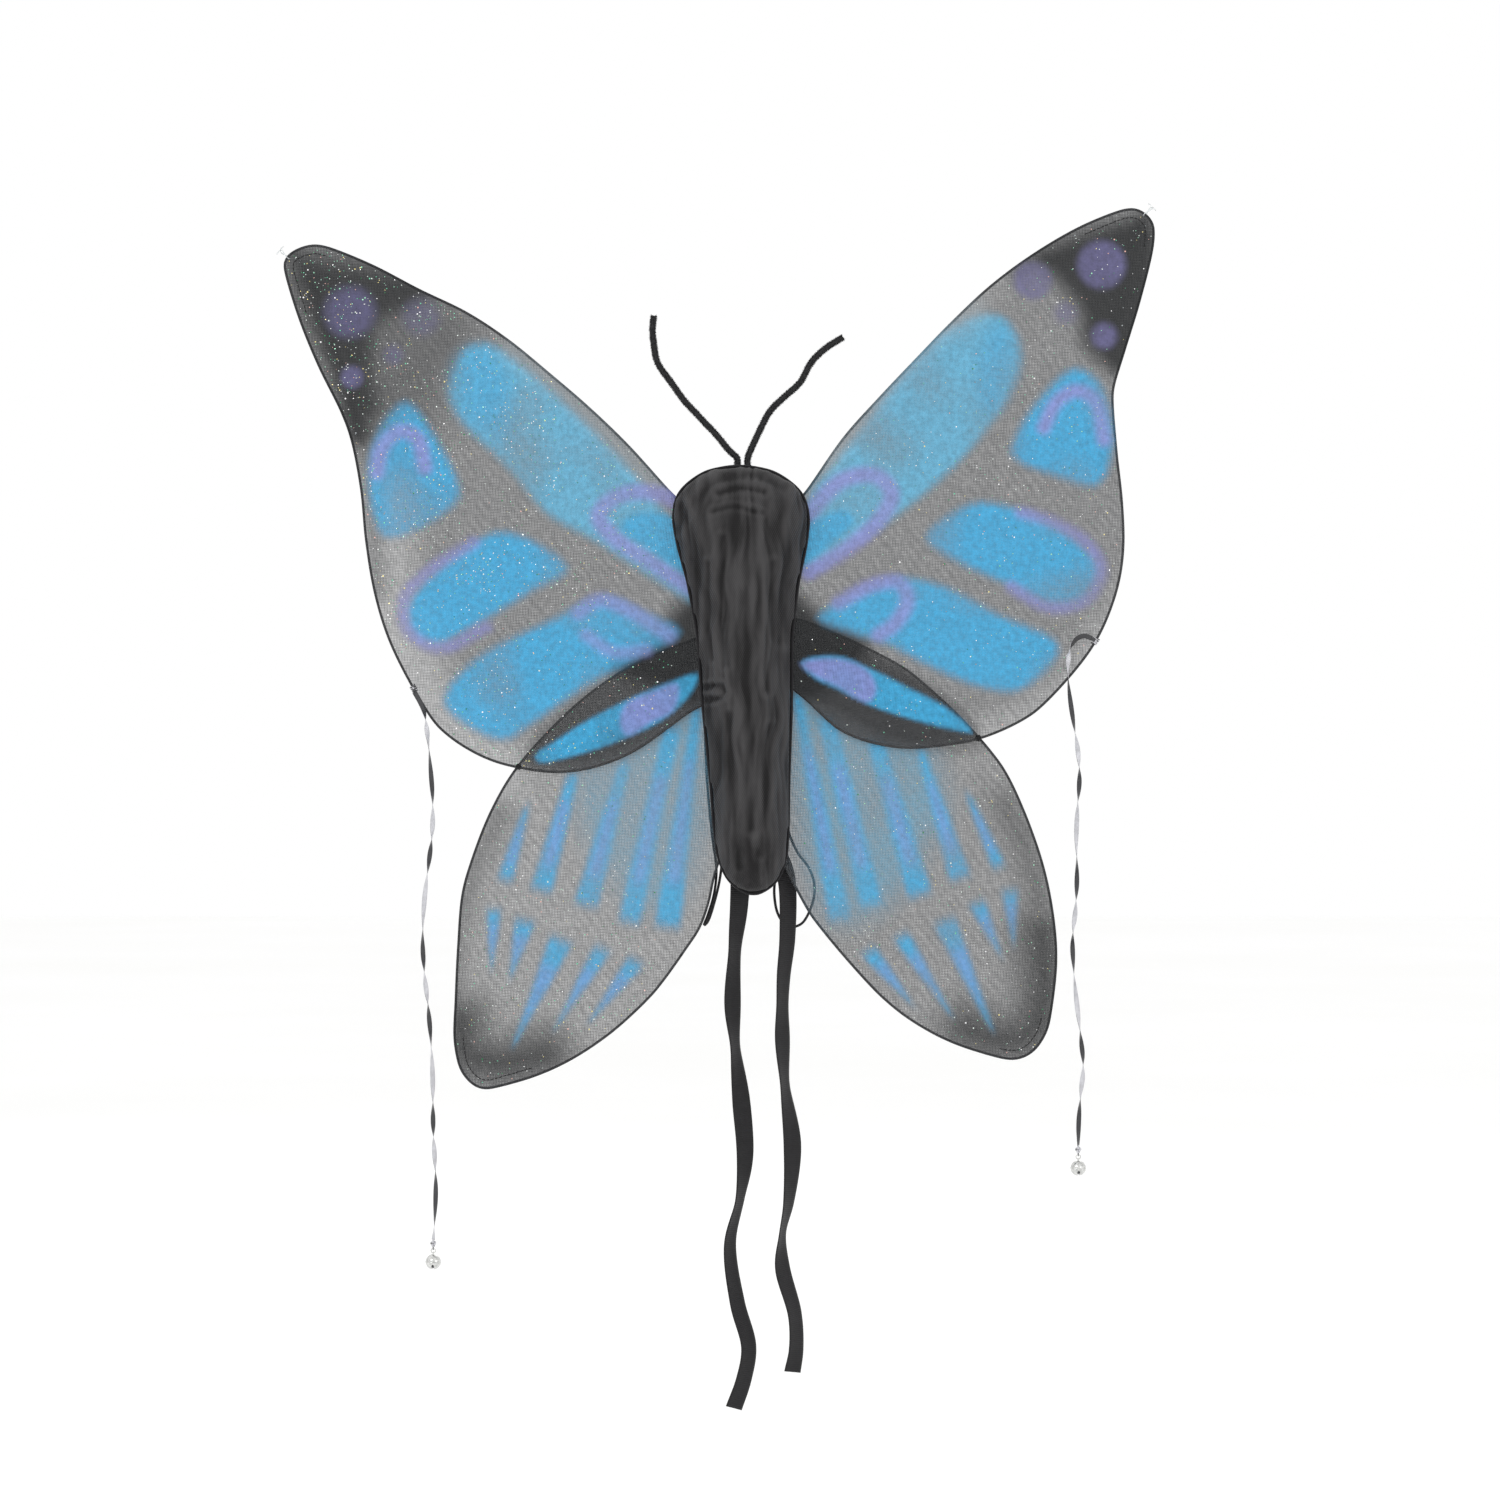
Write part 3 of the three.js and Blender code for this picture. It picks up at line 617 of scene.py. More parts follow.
def rounded_plate(name: str, outline: Points, back: float, front: float, edge: float) -> bpy.types.Object:
    """Models a soft-edged plate in the XZ plane.

    Args:
        name: The piece's name.
        outline: Its outline's points in XZ.
        back: Depth of its back face.
        front: Depth of its front face.
        edge: Radius of its rounded edges.

    Returns:
        The plate.
    """
    only()
    bpy.ops.mesh.primitive_circle_add(vertices=len(outline), radius=0.1, fill_type="NGON")
    plate = bpy.context.object
    for vertex, (x, z) in zip(plate.data.vertices, outline):
        vertex.co = (x * MM, back * MM, z * MM)
    bpy.ops.object.mode_set(mode="EDIT")
    bpy.ops.mesh.select_all(action="SELECT")
    bpy.ops.mesh.extrude_region_move(TRANSFORM_OT_translate={"value": (0, (front - back) * MM, 0)})
    bpy.ops.object.mode_set(mode="OBJECT")
    outward(plate)
    modify(plate, "BEVEL", width=edge * MM, segments=3, limit_method="ANGLE", angle_limit=math.radians(50))
    return settle(plate, name, 60)


def finish_piece(piece: bpy.types.Object, material: bpy.types.Material, body: str | None = None,
                 nodes: tuple[str, ...] = ()) -> bpy.types.Object:
    """Dresses a piece, seats it on its body and lets it stand for its CAD nodes.

    Args:
        piece: The object.
        material: Its finish.
        body: The body it rides on, or None to leave it on no body.
        nodes: The CAD nodes that it replaces.

    Returns:
        The same object.
    """
    piece.data.materials.clear()
    piece.data.materials.append(material)
    if body:
        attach(piece, body)
    if nodes:
        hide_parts(*nodes)
    log.info("%s: %d faces", piece.name, len(piece.data.polygons))
    return piece


# ---------------------------------------------------------------- finishes


@dataclass(frozen=True)
class NylonNet:
    """Nylon stocking net, warp-knitted and stretched thin: grey against light, with crossing
    moire lines where its two layers meet, and matt paint that closes its holes."""

    name: str
    pitch: float = 2.1   # real holes are under 1 mm; drawn as coarse as it needs to show
    turn: float = 0.0
    stops: float = 0.56   # share of the light that one bare layer stops

    def make(self) -> bpy.types.Material:
        """Builds the material."""
        material, tree, shader = blank(self.name, Roughness=0.62, Specular_IOR_Level=0.3)
        repeat = 2 * math.pi / (self.pitch * MM)
        threads = add(tree, "ShaderNodeSeparateXYZ", {0: on_object(tree, (repeat,) * 3, self.turn)})
        waves = [maths(tree, "SINE", threads.outputs[axis]) for axis in "XZ"]
        net = maths(tree, "ADD", waves[0], waves[1])
        # stretch lines of the knit, 7 mm apart, that wander across the wing
        swirl = add(
            tree, "ShaderNodeTexWave",
            {"Vector": on_object(tree, (1, 1, 1), 35 + self.turn), "Scale": 48, "Distortion": 9, "Detail": 2,
             "Detail Scale": 0.35}, wave_type="BANDS", bands_direction="X").outputs["Fac"]
        patchy = mottling(tree, 260, Detail=3)
        layer = add(tree, "ShaderNodeSeparateColor", {0: painted(tree, "layer")})
        cover, veil = layer.outputs["Red"], layer.outputs["Green"]
        bare = maths(tree, "MULTIPLY", veil, self.stops)
        for source, share, middle in ((net, 0.07, 0.0), (swirl, 0.06, 0.5), (patchy, 0.30, 0.5)):
            centred = maths(tree, "SUBTRACT", source, middle)
            bare = maths(tree, "MULTIPLY_ADD", centred, share, bare)
        closed = add(tree, "ShaderNodeMix", {"Factor": cover, "A": bare, "B": 0.97}).outputs["Result"]
        tree.links.new(closed, shader.inputs["Alpha"])
        paint = painted(tree, "paint")
        grain = add(
            tree, "ShaderNodeMapRange",
            {"Value": patchy, "From Min": 0.25, "From Max": 0.75, "To Min": 0.8, "To Max": 1.22})
        tone = add(
            tree, "ShaderNodeMix", {"Factor": 1.0, "A": paint, "B": grain.outputs["Result"]},
            data_type="RGBA", blend_type="MULTIPLY")
        tree.links.new(tone.outputs["Result"], shader.inputs["Base Color"])
        tree.links.new(bumped(tree, net, 0.08), shader.inputs["Normal"])
        return material


@dataclass(frozen=True)
class Cloth:
    """Woven or knitted fabric on object coordinates: threads in rows, a soft nap, and shade that drifts over
    the piece, with painted shade in its folds where the mesh carries a fold attribute."""

    name: str
    deep: str
    pale: str
    pitch: float = 1.2
    relief: float = 0.15
    stretch: float = 1.0   # how much longer a stitch is than it is wide
    rough: float = 0.85
    nap: float = 0.15
    folded: float = 0.0    # how much darker the cloth is painted down in its folds: painted shade in the creases

    def make(self) -> bpy.types.Material:
        """Builds the material."""
        material, tree, shader = blank(
            self.name, Roughness=self.rough, Sheen_Weight=self.nap, Sheen_Roughness=0.5,
            Specular_IOR_Level=0.25)
        repeat = 2 * math.pi / (self.pitch * MM)
        rows = add(tree, "ShaderNodeSeparateXYZ",
            {0: on_object(tree, (repeat, repeat, repeat / self.stretch))})
        waves = [maths(tree, "SINE", rows.outputs[axis]) for axis in "XZ"]
        weave = maths(tree, "MULTIPLY", waves[0], waves[1])
        drift = add(
            tree, "ShaderNodeTexNoise",
            {"Vector": on_object(tree, (60, 60, 14)), "Scale": 1.0, "Detail": 5,
                "Roughness": 0.6}).outputs["Fac"]
        shade = maths(tree, "MULTIPLY_ADD", weave, 0.10, drift)
        # painted shade: the fold attribute darkens the colour in the creases and lightens it on the crests
        if self.folded:
            fold = painted(tree, "fold", "Fac")
            low = maths(tree, "SUBTRACT", fold, 0.5)
            shade = maths(tree, "MULTIPLY_ADD", low, self.folded, shade)
        tree.links.new(ramp(tree, shade, (0.25, self.deep), (0.8, self.pale)), shader.inputs["Base Color"])
        tree.links.new(bumped(tree, weave, self.relief), shader.inputs["Normal"])
        return material


@dataclass(frozen=True)
class RibbonCloth:
    """Narrow woven ribbon, on its own UV: weft ribs across it, woven edges, and one face that
    may be another colour."""

    name: str
    face: str
    other: str
    rib: float = 1.2
    rough: float = 0.5
    shine: float = 0.3

    def make(self) -> bpy.types.Material:
        """Builds the material."""
        material, tree, shader = blank(
            self.name, Roughness=self.rough, Sheen_Weight=0.1, Specular_IOR_Level=self.shine)
        parts = add(tree, "ShaderNodeSeparateXYZ", {0: add(tree, "ShaderNodeTexCoord").outputs["UV"]})
        along = maths(tree, "MULTIPLY", parts.outputs["Y"], 2 * math.pi / (self.rib * MM))
        ribs = maths(tree, "SINE", along)
        side = maths(tree, "GREATER_THAN", parts.outputs["X"], 0.5)
        face = ramp(tree, side, (0.4, self.face), (0.6, self.other))
        wear = mottling(tree, 140, Detail=3)
        shade = maths(tree, "MULTIPLY_ADD", ribs, 0.12, wear)
        level = add(
            tree, "ShaderNodeMapRange",
            {"Value": shade, "From Min": 0.2, "From Max": 0.8, "To Min": 0.72, "To Max": 1.25})
        tone = add(
            tree, "ShaderNodeMix", {"Factor": 1.0, "A": face, "B": level.outputs["Result"]},
            data_type="RGBA", blend_type="MULTIPLY")
        tree.links.new(tone.outputs["Result"], shader.inputs["Base Color"])
        tree.links.new(bumped(tree, ribs, 0.12), shader.inputs["Normal"])
        return material


@dataclass(frozen=True)
class Braid:
    """Braided or plied thread, on its own UV: slanting strands that catch the light."""

    name: str
    deep: str
    pale: str
    strand: float = 1.1
    rough: float = 0.7

    def make(self) -> bpy.types.Material:
        """Builds the material."""
        material, tree, shader = blank(self.name, Roughness=self.rough, Specular_IOR_Level=0.3)
        parts = add(tree, "ShaderNodeSeparateXYZ", {0: add(tree, "ShaderNodeTexCoord").outputs["UV"]})
        along = maths(tree, "MULTIPLY", parts.outputs["Y"], 2 * math.pi / (self.strand * MM))
        slant = maths(tree, "MULTIPLY_ADD", parts.outputs["X"], 4 * math.pi, along)
        strands = maths(tree, "SINE", slant)
        level = maths(tree, "MULTIPLY_ADD", strands, 0.4, 0.5)
        tree.links.new(ramp(tree, level, (0.1, self.deep), (0.9, self.pale)), shader.inputs["Base Color"])
        tree.links.new(bumped(tree, level, 0.15), shader.inputs["Normal"])
        return material


@dataclass(frozen=True)
class Mottled:
    """A hard or hairy finish with fine mottling on object coordinates, such as vinyl coating,
    chenille pile, monofilament or steel."""

    name: str
    deep: str
    pale: str
    rough: float = 0.5
    metallic: float = 0.0
    grain: float = 3.0   # size of the mottling in millimetres
    relief: float = 0.03
    clear: float = 0.0   # share of the light that passes through

    def make(self) -> bpy.types.Material:
        """Builds the material."""
        material, tree, shader = blank(
            self.name, Roughness=self.rough, Metallic=self.metallic, Transmission_Weight=self.clear)
        mottle = mottling(tree, 1 / (self.grain * MM), Detail=4)
        tree.links.new(ramp(tree, mottle, (0.3, self.deep), (0.7, self.pale)), shader.inputs["Base Color"])
        gloss = add(
            tree, "ShaderNodeMapRange",
            {"Value": mottle, "To Min": max(self.rough - 0.12, 0.03), "To Max": min(self.rough + 0.12, 1.0)})
        tree.links.new(gloss.outputs["Result"], shader.inputs["Roughness"])
        tree.links.new(bumped(tree, mottle, self.relief), shader.inputs["Normal"])
        return material


@dataclass(frozen=True)
class Glitter:
    """Cut polyester glitter, metal-coated: each flake flashes white, gold or green."""

    name: str = "glitter_flakes_metallised"

    def make(self) -> bpy.types.Material:
        """Builds the material."""
        material, tree, shader = blank(self.name, Roughness=0.28, Metallic=0.85)
        flake = painted(tree, "flake")
        tone = mottling(tree, 900)
        lit = add(tree, "ShaderNodeMapRange",
            {"Value": tone, "To Min": 0.85, "To Max": 1.15}).outputs["Result"]
        mixed = add(
            tree, "ShaderNodeMix", {"Factor": 1.0, "A": flake, "B": lit}, data_type="RGBA",
            blend_type="MULTIPLY")
        tree.links.new(mixed.outputs["Result"], shader.inputs["Base Color"])
        return material


class Wardrobe:
    """Every finish of the wings, built once."""

    def __init__(self) -> None:
        """Builds the materials."""
        self.front_net = NylonNet("nylon_net_painted", pitch=2.1, turn=8).make()
        self.back_net = NylonNet("nylon_net_bare", pitch=2.35, turn=-4, stops=0.54).make()
        # vinyl skin drawn over steel wire: smooth, half gloss
        self.wire = Mottled("vinyl_coated_steel_wire", "#141416", "#232327", rough=0.38, grain=4,
            relief=0.01).make()
        # the pod's knit carries painted shade in its folds: darker in the creases, lighter on the crests
        self.pod = Cloth("black_stretch_knit", "#1a191a", "#434243", pitch=1.5, relief=0.2, stretch=2.2,
            nap=0.08, folded=0.6).make()
        self.panel = Cloth("black_polyester_twill", "#161517", "#242326", pitch=1.3, relief=0.15,
            nap=0.1).make()
        self.pad = Cloth("black_felt", "#1a191b", "#2a292c", pitch=2.4, relief=0.35, rough=0.95,
            nap=0.4).make()
        self.tape = Cloth("cotton_binding_tape", "#151416", "#29282b", pitch=1.6, relief=0.2).make()
        self.tie = RibbonCloth("black_grosgrain_ribbon", "#181719", "#1e1d1f", rib=1.6, rough=0.65).make()
        # the pale second face is partly the ribbon's lighter side and partly painted highlight for the
        # satin's glints
        self.cord = RibbonCloth("two_tone_satin_ribbon", "#2c2c30", "#c9c9ce", rib=1.0, rough=0.3,
            shine=0.6).make()
        self.elastic = Braid("braided_round_elastic", "#141315", "#2c2b2e", strand=1.6).make()
        self.thread = Braid("black_sewing_thread", "#101011", "#262628", strand=1.0).make()
        self.clear = Mottled("nylon_monofilament", "#dfe5e6", "#f6f8f8", rough=0.2, grain=2,
            clear=0.55).make()
        self.chenille = Mottled("black_chenille_pile", "#0d0d0e", "#242326", rough=0.95, grain=1.2,
            relief=0.1).make()
        self.stem = Mottled("twisted_stem_wire", "#161617", "#2a2a2c", rough=0.5, metallic=0.4,
            grain=1.5).make()
        self.bell = Mottled("nickel_plated_brass", "#b9bab8", "#e4e4e2", rough=0.2, metallic=1.0,
            grain=2).make()
        self.steel = Mottled("steel_pellet", "#77787a", "#a5a6a8", rough=0.35, metallic=1.0, grain=1).make()
        self.flakes = Glitter().make()


# ---------------------------------------------------------------- studio


@dataclass
class Studio:
    """Pale floor, white surroundings, soft lights and the camera."""

    frame_width: float = 1200.0   # width seen at the wings
    lens: float = 100.0
    sensor: float = 36.0
    look_at: tuple[float, float, float] = (5.0, -11.6, -88.0)
    floor_at: float = -702.0

    def set_camera(self) -> None:
        """Places the camera straight in front of the wings."""
        data = bpy.data.cameras.new("camera")
        data.lens, data.sensor_width = self.lens, self.sensor
        data.clip_end = 60
        camera = bpy.data.objects.new("camera", data)
        away = self.frame_width * self.lens / self.sensor
        x, y, z = self.look_at
        camera.location = Vector((x, y - away, z)) * MM
        camera.rotation_euler = (math.pi / 2, 0, 0)
        bpy.context.collection.objects.link(camera)
        bpy.context.scene.camera = camera

    def light(self) -> None:
        """Fills the room with even white light, stronger from the upper left."""
        scene = bpy.context.scene
        world = bpy.data.worlds.new("white_room")
        scene.world = world
        world.use_nodes = True
        world.node_tree.nodes["Background"].inputs["Color"].default_value = linear("#ffffff")
        scene.view_settings.view_transform = "Standard"
        for name, place, size, power in (
            ("key", (-1.5, -2.6, 1.5), 1.4, 16.0), ("fill", (1.9, -2.2, 0.4), 1.8, 6.0),
            ("rear", (0.4, 2.6, 1.2), 2.0, 8.0)):
            data = bpy.data.lights.new(name, "AREA")
            data.size, data.energy = size, power
            lamp = bpy.data.objects.new(name, data)
            lamp.location = place
            lamp.rotation_euler = (Vector((0, 0, 0)) - Vector(place)).to_track_quat("-Z", "Y").to_euler()
            bpy.context.collection.objects.link(lamp)

    def lay_floor(self) -> None:
        """Lays a pale floor under the bells."""
        only()
        bpy.ops.mesh.primitive_grid_add(x_subdivisions=4, y_subdivisions=4, size=24,
            location=(0, 0, self.floor_at * MM))
        floor = settle(bpy.context.object, "floor")
        floor.data.materials.append(Mottled("pale_floor", "#fdfdfc", "#ffffff", rough=0.9, grain=900,
            relief=0.0).make())


# ---------------------------------------------------------------- paint on the wings


@dataclass(frozen=True)
class Patch:
    """A sprayed area with a soft edge."""

    outline: tuple[tuple[float, float], ...]
    ink: Ink = Ink.BLUE
    blur: float = 12.0
    strength: float = 1.0

    def cover(self, points: Points) -> Points:
        """Tells how much of this paint each point has."""
        edge = smooth(np.array(self.outline, float), 6.0, closed=True)
        gap = gap_to(points, np.vstack([edge, edge[:1]]))
        return self.strength * ease(np.where(inside(points, edge), gap, -gap), -self.blur / 2, self.blur / 2)


@dataclass(frozen=True)
class Stroke:
    """A sprayed line with a soft edge."""

    line: tuple[tuple[float, float], ...]
    width: float
    ink: Ink = Ink.VIOLET
    blur: float = 9.0
    strength: float = 0.8

    def cover(self, points: Points) -> Points:
        """Tells how much of this paint each point has."""
        gap = gap_to(points, smooth(np.array(self.line, float), 5.0))
        return self.strength * ease(self.width / 2 - gap, -self.blur / 2, self.blur / 2)


@dataclass(frozen=True)
class Wedge:
    """A straight stripe whose width changes from end to end."""

    start: tuple[float, float]
    end: tuple[float, float]
    widths: tuple[float, float]
    ink: Ink = Ink.BLUE
    blur: float = 8.0
    strength: float = 0.95

    def cover(self, points: Points) -> Points:
        """Tells how much of this paint each point has."""
        a, b = np.array(self.start, float), np.array(self.end, float)
        reach = np.linalg.norm(b - a)
        way = (b - a) / reach
        along = (points - a) @ way
        beside = np.abs((points - a) @ np.array([-way[1], way[0]]))
        half = np.interp(along, [0, reach], self.widths) / 2
        across = ease(half - beside, -self.blur / 2, self.blur / 2)
        ends = ease(along, -self.blur, self.blur) * ease(reach - along, -self.blur, self.blur)
        return self.strength * across * ends


@dataclass(frozen=True)
class Spot:
    """A round sprayed spot."""

    middle: tuple[float, float]
    radius: float
    ink: Ink = Ink.DUSK
    blur: float = 9.0
    strength: float = 0.9

    def cover(self, points: Points) -> Points:
        """Tells how much of this paint each point has."""
        gap = np.linalg.norm(points - np.array(self.middle, float), axis=1)
        return self.strength * ease(self.radius - gap, -self.blur / 2, self.blur / 2)


Mark = Patch | Stroke | Wedge | Spot


def stripes(rows: list[tuple[tuple[float, float], tuple[float, float], tuple[float, float]]],
        tint: float) -> tuple[Mark, ...]:
    """Paints a fan of stripes: blue, with a violet bloom along the middle of each.

    Args:
        rows: Start, end and the two widths of each stripe.
        tint: Strength of the violet.

    Returns:
        The marks, in the order they are sprayed.
    """
    marks: list[Mark] = [Wedge(*row) for row in rows]
    for start, end, widths in rows:
        a, b = np.array(start, float), np.array(end, float)
        marks.append(Wedge(
            tuple(a + (b - a) * 0.25), tuple(a + (b - a) * 0.8), (widths[0] * 0.7, widths[1] * 0.5),
            Ink.VIOLET, 8.0, tint))
    return tuple(marks)


LEFT_UPPER_PAINT: tuple[Mark, ...] = (
    # black spray at the tip, along the outer edge and where the cloth gathers at the pod
    Patch(((-380, 190), (-280, 140), (-262, 60), (-240, -20), (-200, -70), (-150, -108), (-190, -120),
           (-260, -90), (-330, 0), (-340, 120)), Ink.THIN, 44, 0.30),
    Patch(((-366, 318), (-345, 310), (-290, 300), (-240, 285), (-262, 262), (-288, 250), (-292, 214),
           (-288, 182), (-312, 166), (-330, 212), (-356, 268)), Ink.SMOKE, 36, 0.9),
    Stroke(((-346, 290), (-334, 252), (-316, 205), (-308, 165)), 24, Ink.SMOKE, 26, 0.95),
    Stroke(((-338, 306), (-290, 300), (-235, 274)), 12, Ink.SMOKE, 26, 0.6),
    Patch(((-350, 290), (-250, 280), (-215, 250), (-240, 190), (-262, 150), (-310, 120)), Ink.SMOKE, 56,
        0.42),
    Stroke(((-312, 180), (-300, 130), (-296, 84), (-292, 40)), 10, Ink.SMOKE, 30, 0.5),
    Patch(((-110, -20), (-70, 6), (-50, 30), (-36, 36), (-36, -50), (-60, -44)), Ink.SMOKE, 26, 0.95),
    Patch(((-44, 10), (-84, -16), (-130, -44), (-170, -82), (-176, -98), (-140, -100), (-96, -86), (-60, -66),
           (-40, -48)), Ink.SMOKE, 12, 0.38),
    Patch(((-233, 211), (-222, 232), (-204, 236), (-169, 213), (-129, 176), (-90, 136), (-61, 100), (-35, 66),
           (-35, 30), (-74, 50), (-117, 78), (-156, 100), (-188, 137), (-222, 172), (-236, 196)), Ink.SKY),
    Patch(((-233, 211), (-222, 230), (-204, 232), (-186, 200), (-190, 160), (-222, 176)), Ink.BLUE, 26, 0.7),
    Stroke(((-186, 232), (-142, 196), (-100, 154), (-66, 118)), 8, Ink.PALE, 26, 0.4),
    Stroke(((-38, 98), (-66, 116), (-98, 116), (-116, 100), (-106, 84), (-74, 62), (-44, 42)), 13,
        strength=0.8),
    Patch(((-36, 86), (-62, 100), (-90, 100), (-98, 90), (-78, 74), (-36, 52)), Ink.BLUE, 8, 0.95),
    Patch(((-270, 190), (-290, 170), (-300, 134), (-289, 84), (-276, 82), (-228, 112), (-228, 124),
        (-246, 161))),
    Stroke(((-293, 134), (-289, 154), (-275, 167), (-261, 161), (-255, 138)), 12, strength=0.85),
    Patch(((-198, 86), (-167, 78), (-141, 56), (-169, 39), (-209, 15), (-246, -3), (-264, 4), (-268, 28),
        (-240, 60))),
    Stroke(((-216, 78), (-248, 58), (-271, 34), (-269, 8), (-243, -7), (-206, 10)), 10, strength=0.7),
    Patch(((-52, 6), (-83, 24), (-112, 35), (-156, 15), (-209, -12), (-236, -38), (-239, -52), (-219, -70),
           (-191, -80), (-171, -68), (-131, -40), (-83, -12))),
    Stroke(((-60, 4), (-92, 24), (-116, 32), (-132, 22)), 12, strength=0.75),
    Stroke(((-126, 4), (-104, -10), (-78, -8)), 10, strength=0.6),
    Patch(((-36, -27), (-57, -33), (-93, -48), (-126, -65), (-154, -83), (-167, -92), (-165, -98),
           (-137, -93), (-98, -80), (-62, -62), (-42, -42)), Ink.BLUE, 5, 1.0),
    Patch(((-53, -35), (-75, -42), (-94, -51), (-99, -65), (-94, -77), (-74, -66), (-56, -56)), Ink.VIOLET,
        6, 0.85),
    Spot((-315, 262), 20, blur=13, strength=0.6), Spot((-313, 210), 9, blur=6, strength=0.8),
    Spot((-258, 258), 14, blur=14, strength=0.5),
    Spot((-280, 228), 8, blur=8, strength=0.5),
)

RIGHT_UPPER_PAINT: tuple[Mark, ...] = (
    Patch(((320, 60), (286, 20), (256, -24), (214, -56), (170, -76), (190, -110), (270, -90), (340, 0)),
        Ink.THIN, 40, 0.26),
    Patch(((40, 104), (130, 214), (210, 290), (170, 290), (60, 170)), Ink.THIN, 20, 0.12),
    Patch(((325, 342), (300, 335), (262, 322), (230, 306), (250, 286), (268, 262), (272, 236), (292, 218),
           (302, 214), (312, 250), (324, 300)), Ink.SMOKE, 26, 0.93),
    Stroke(((318, 320), (312, 272), (300, 226)), 26, Ink.SMOKE, 20, 0.9),
    Stroke(((296, 330), (256, 316), (222, 298)), 14, Ink.SMOKE, 26, 0.6),
    Patch(((40, 36), (62, 20), (100, -4), (70, -40), (38, -46)), Ink.SMOKE, 22, 0.95),
    Patch(((42, 8), (86, -6), (130, -26), (170, -52), (188, -74), (160, -84), (120, -80), (80, -60),
        (42, -40)),
          Ink.SMOKE, 12, 0.5),
    Patch(((219, 241), (207, 258), (190, 260), (157, 244), (117, 200), (77, 148), (50, 112), (42, 64),
           (50, 54), (84, 74), (124, 100), (172, 142), (204, 182), (221, 219)), Ink.SKY),
    Patch(((216, 240), (206, 252), (192, 236), (190, 190), (200, 182), (218, 216)), Ink.BLUE, 24, 0.6),
    Stroke(((186, 264), (148, 242), (106, 196), (66, 144)), 10, Ink.PALE, 30, 0.45),
    Stroke(((48, 92), (58, 108), (80, 128), (106, 131), (118, 117), (110, 98), (84, 74), (52, 54)), 13,
        strength=0.85),
    Patch(((44, 88), (62, 98), (80, 104), (88, 96), (76, 82), (44, 60)), Ink.BLUE, 8, 0.95),
    Patch(((265, 217), (284, 206), (293, 180), (294, 150), (283, 124), (247, 132), (214, 148), (216, 160),
        (236, 192))),
    Stroke(((240, 170), (250, 190), (266, 199), (281, 191), (288, 160)), 11, strength=0.85),
    Patch(((146, 82), (164, 100), (188, 110), (231, 100), (267, 78), (283, 58), (270, 33), (244, 30),
           (212, 44), (172, 62))),
    Stroke(((222, 102), (248, 94), (274, 78), (286, 57), (274, 32), (244, 26), (214, 42)), 10, strength=0.75),
    Patch(((60, 18), (98, 42), (124, 50), (162, 42), (204, 20), (250, -2), (250, -14), (220, -40), (191, -38),
           (151, -22), (114, -3), (82, 8))),
    Stroke(((76, 30), (104, 44), (124, 46), (131, 32), (120, 12), (108, 4)), 12, strength=0.8),
    Patch(((46, -18), (74, -13), (103, -24), (133, -39), (163, -55), (183, -74), (168, -72), (133, -63),
           (103, -53), (74, -39), (55, -29)), Ink.BLUE, 5, 1.0),
    Patch(((46, -19), (74, -15), (98, -24), (106, -38), (100, -50), (74, -37), (56, -28)), Ink.VIOLET, 6,
        0.9),
    Spot((286, 300), 19), Spot((231, 287), 15), Spot((257, 261), 9, blur=10, strength=0.6),
    Spot((288, 243), 10),
)

LEFT_LOWER_PAINT: tuple[Mark, ...] = (
    Patch(((-240, -60), (-180, -100), (-196, -150), (-212, -210), (-225, -280), (-260, -280), (-260, -120)),
        Ink.THIN, 40, 0.18),
    Stroke(((-226, -306), (-222, -330), (-196, -338), (-160, -332)), 34, Ink.SMOKE, 56, 0.9),
    Stroke(((-232, -310), (-230, -250), (-218, -190), (-196, -140)), 14, Ink.SMOKE, 40, 0.55),
    # painted shade: faint black spray along the lower wing's top, where the upper wing overlaps it, darkens
    # the overlap
    Patch(((-34, -30), (-60, -40), (-120, -72), (-170, -96), (-120, -100), (-60, -80), (-34, -60)),
        Ink.SMOKE, 20, 0.35),
    Patch(((-30, -40), (-70, -70), (-130, -100), (-128, -150), (-96, -205), (-60, -215), (-34, -170)),
        Ink.SKY, 40, 0.55),
    *stripes([
        ((-37, -52), (-61, -230), (7, 21)), ((-57, -70), (-92, -226), (13, 18)),
        ((-95, -98), (-126, -212), (9, 20)), ((-136, -106), (-162, -200), (9, 18)),
        ((-173, -132), (-191, -192), (4, 13))], 0.45),
    *stripes([
        ((-200, -216), (-202, -264), (12, 1)), ((-175, -225), (-187, -271), (17, 1)),
        ((-146, -240), (-184, -324), (20, 1)), ((-113, -247), (-151, -311), (15, 1)),
        ((-86, -257), (-124, -306), (15, 1))], 0.4),
)

RIGHT_LOWER_PAINT: tuple[Mark, ...] = (
    Stroke(((238, -236), (240, -284), (230, -312), (208, -320), (180, -312)), 32, Ink.SMOKE, 56, 0.85),
    # painted shade: faint black spray along the lower wing's top, where the upper wing overlaps it, darkens
    # the overlap
    Patch(((40, -20), (90, -30), (150, -56), (200, -80), (140, -92), (80, -76), (40, -56)), Ink.SMOKE, 20,
        0.35),
    Stroke(((238, -300), (240, -240), (230, -180), (208, -130)), 16, Ink.SMOKE, 44, 0.5),
    Patch(((36, -30), (80, -60), (150, -90), (160, -140), (110, -215), (74, -225), (44, -150)), Ink.SKY, 40,
        0.6),
    *stripes([
        ((42, -42), (77, -223), (7, 18)), ((66, -62), (102, -212), (14, 18)),
        ((105, -80), (141, -204), (13, 20)), ((141, -88), (173, -190), (6, 18)),
        ((179, -123), (204, -181), (4, 11))], 0.45),
    *stripes([
        ((213, -201), (216, -244), (13, 1)), ((187, -211), (206, -253), (14, 1)),
        ((161, -225), (199, -312), (19, 1)), ((126, -237), (166, -300), (14, 1)),
        ((100, -249), (136, -293), (14, 1))], 0.4),
)


# ---------------------------------------------------------------- wings


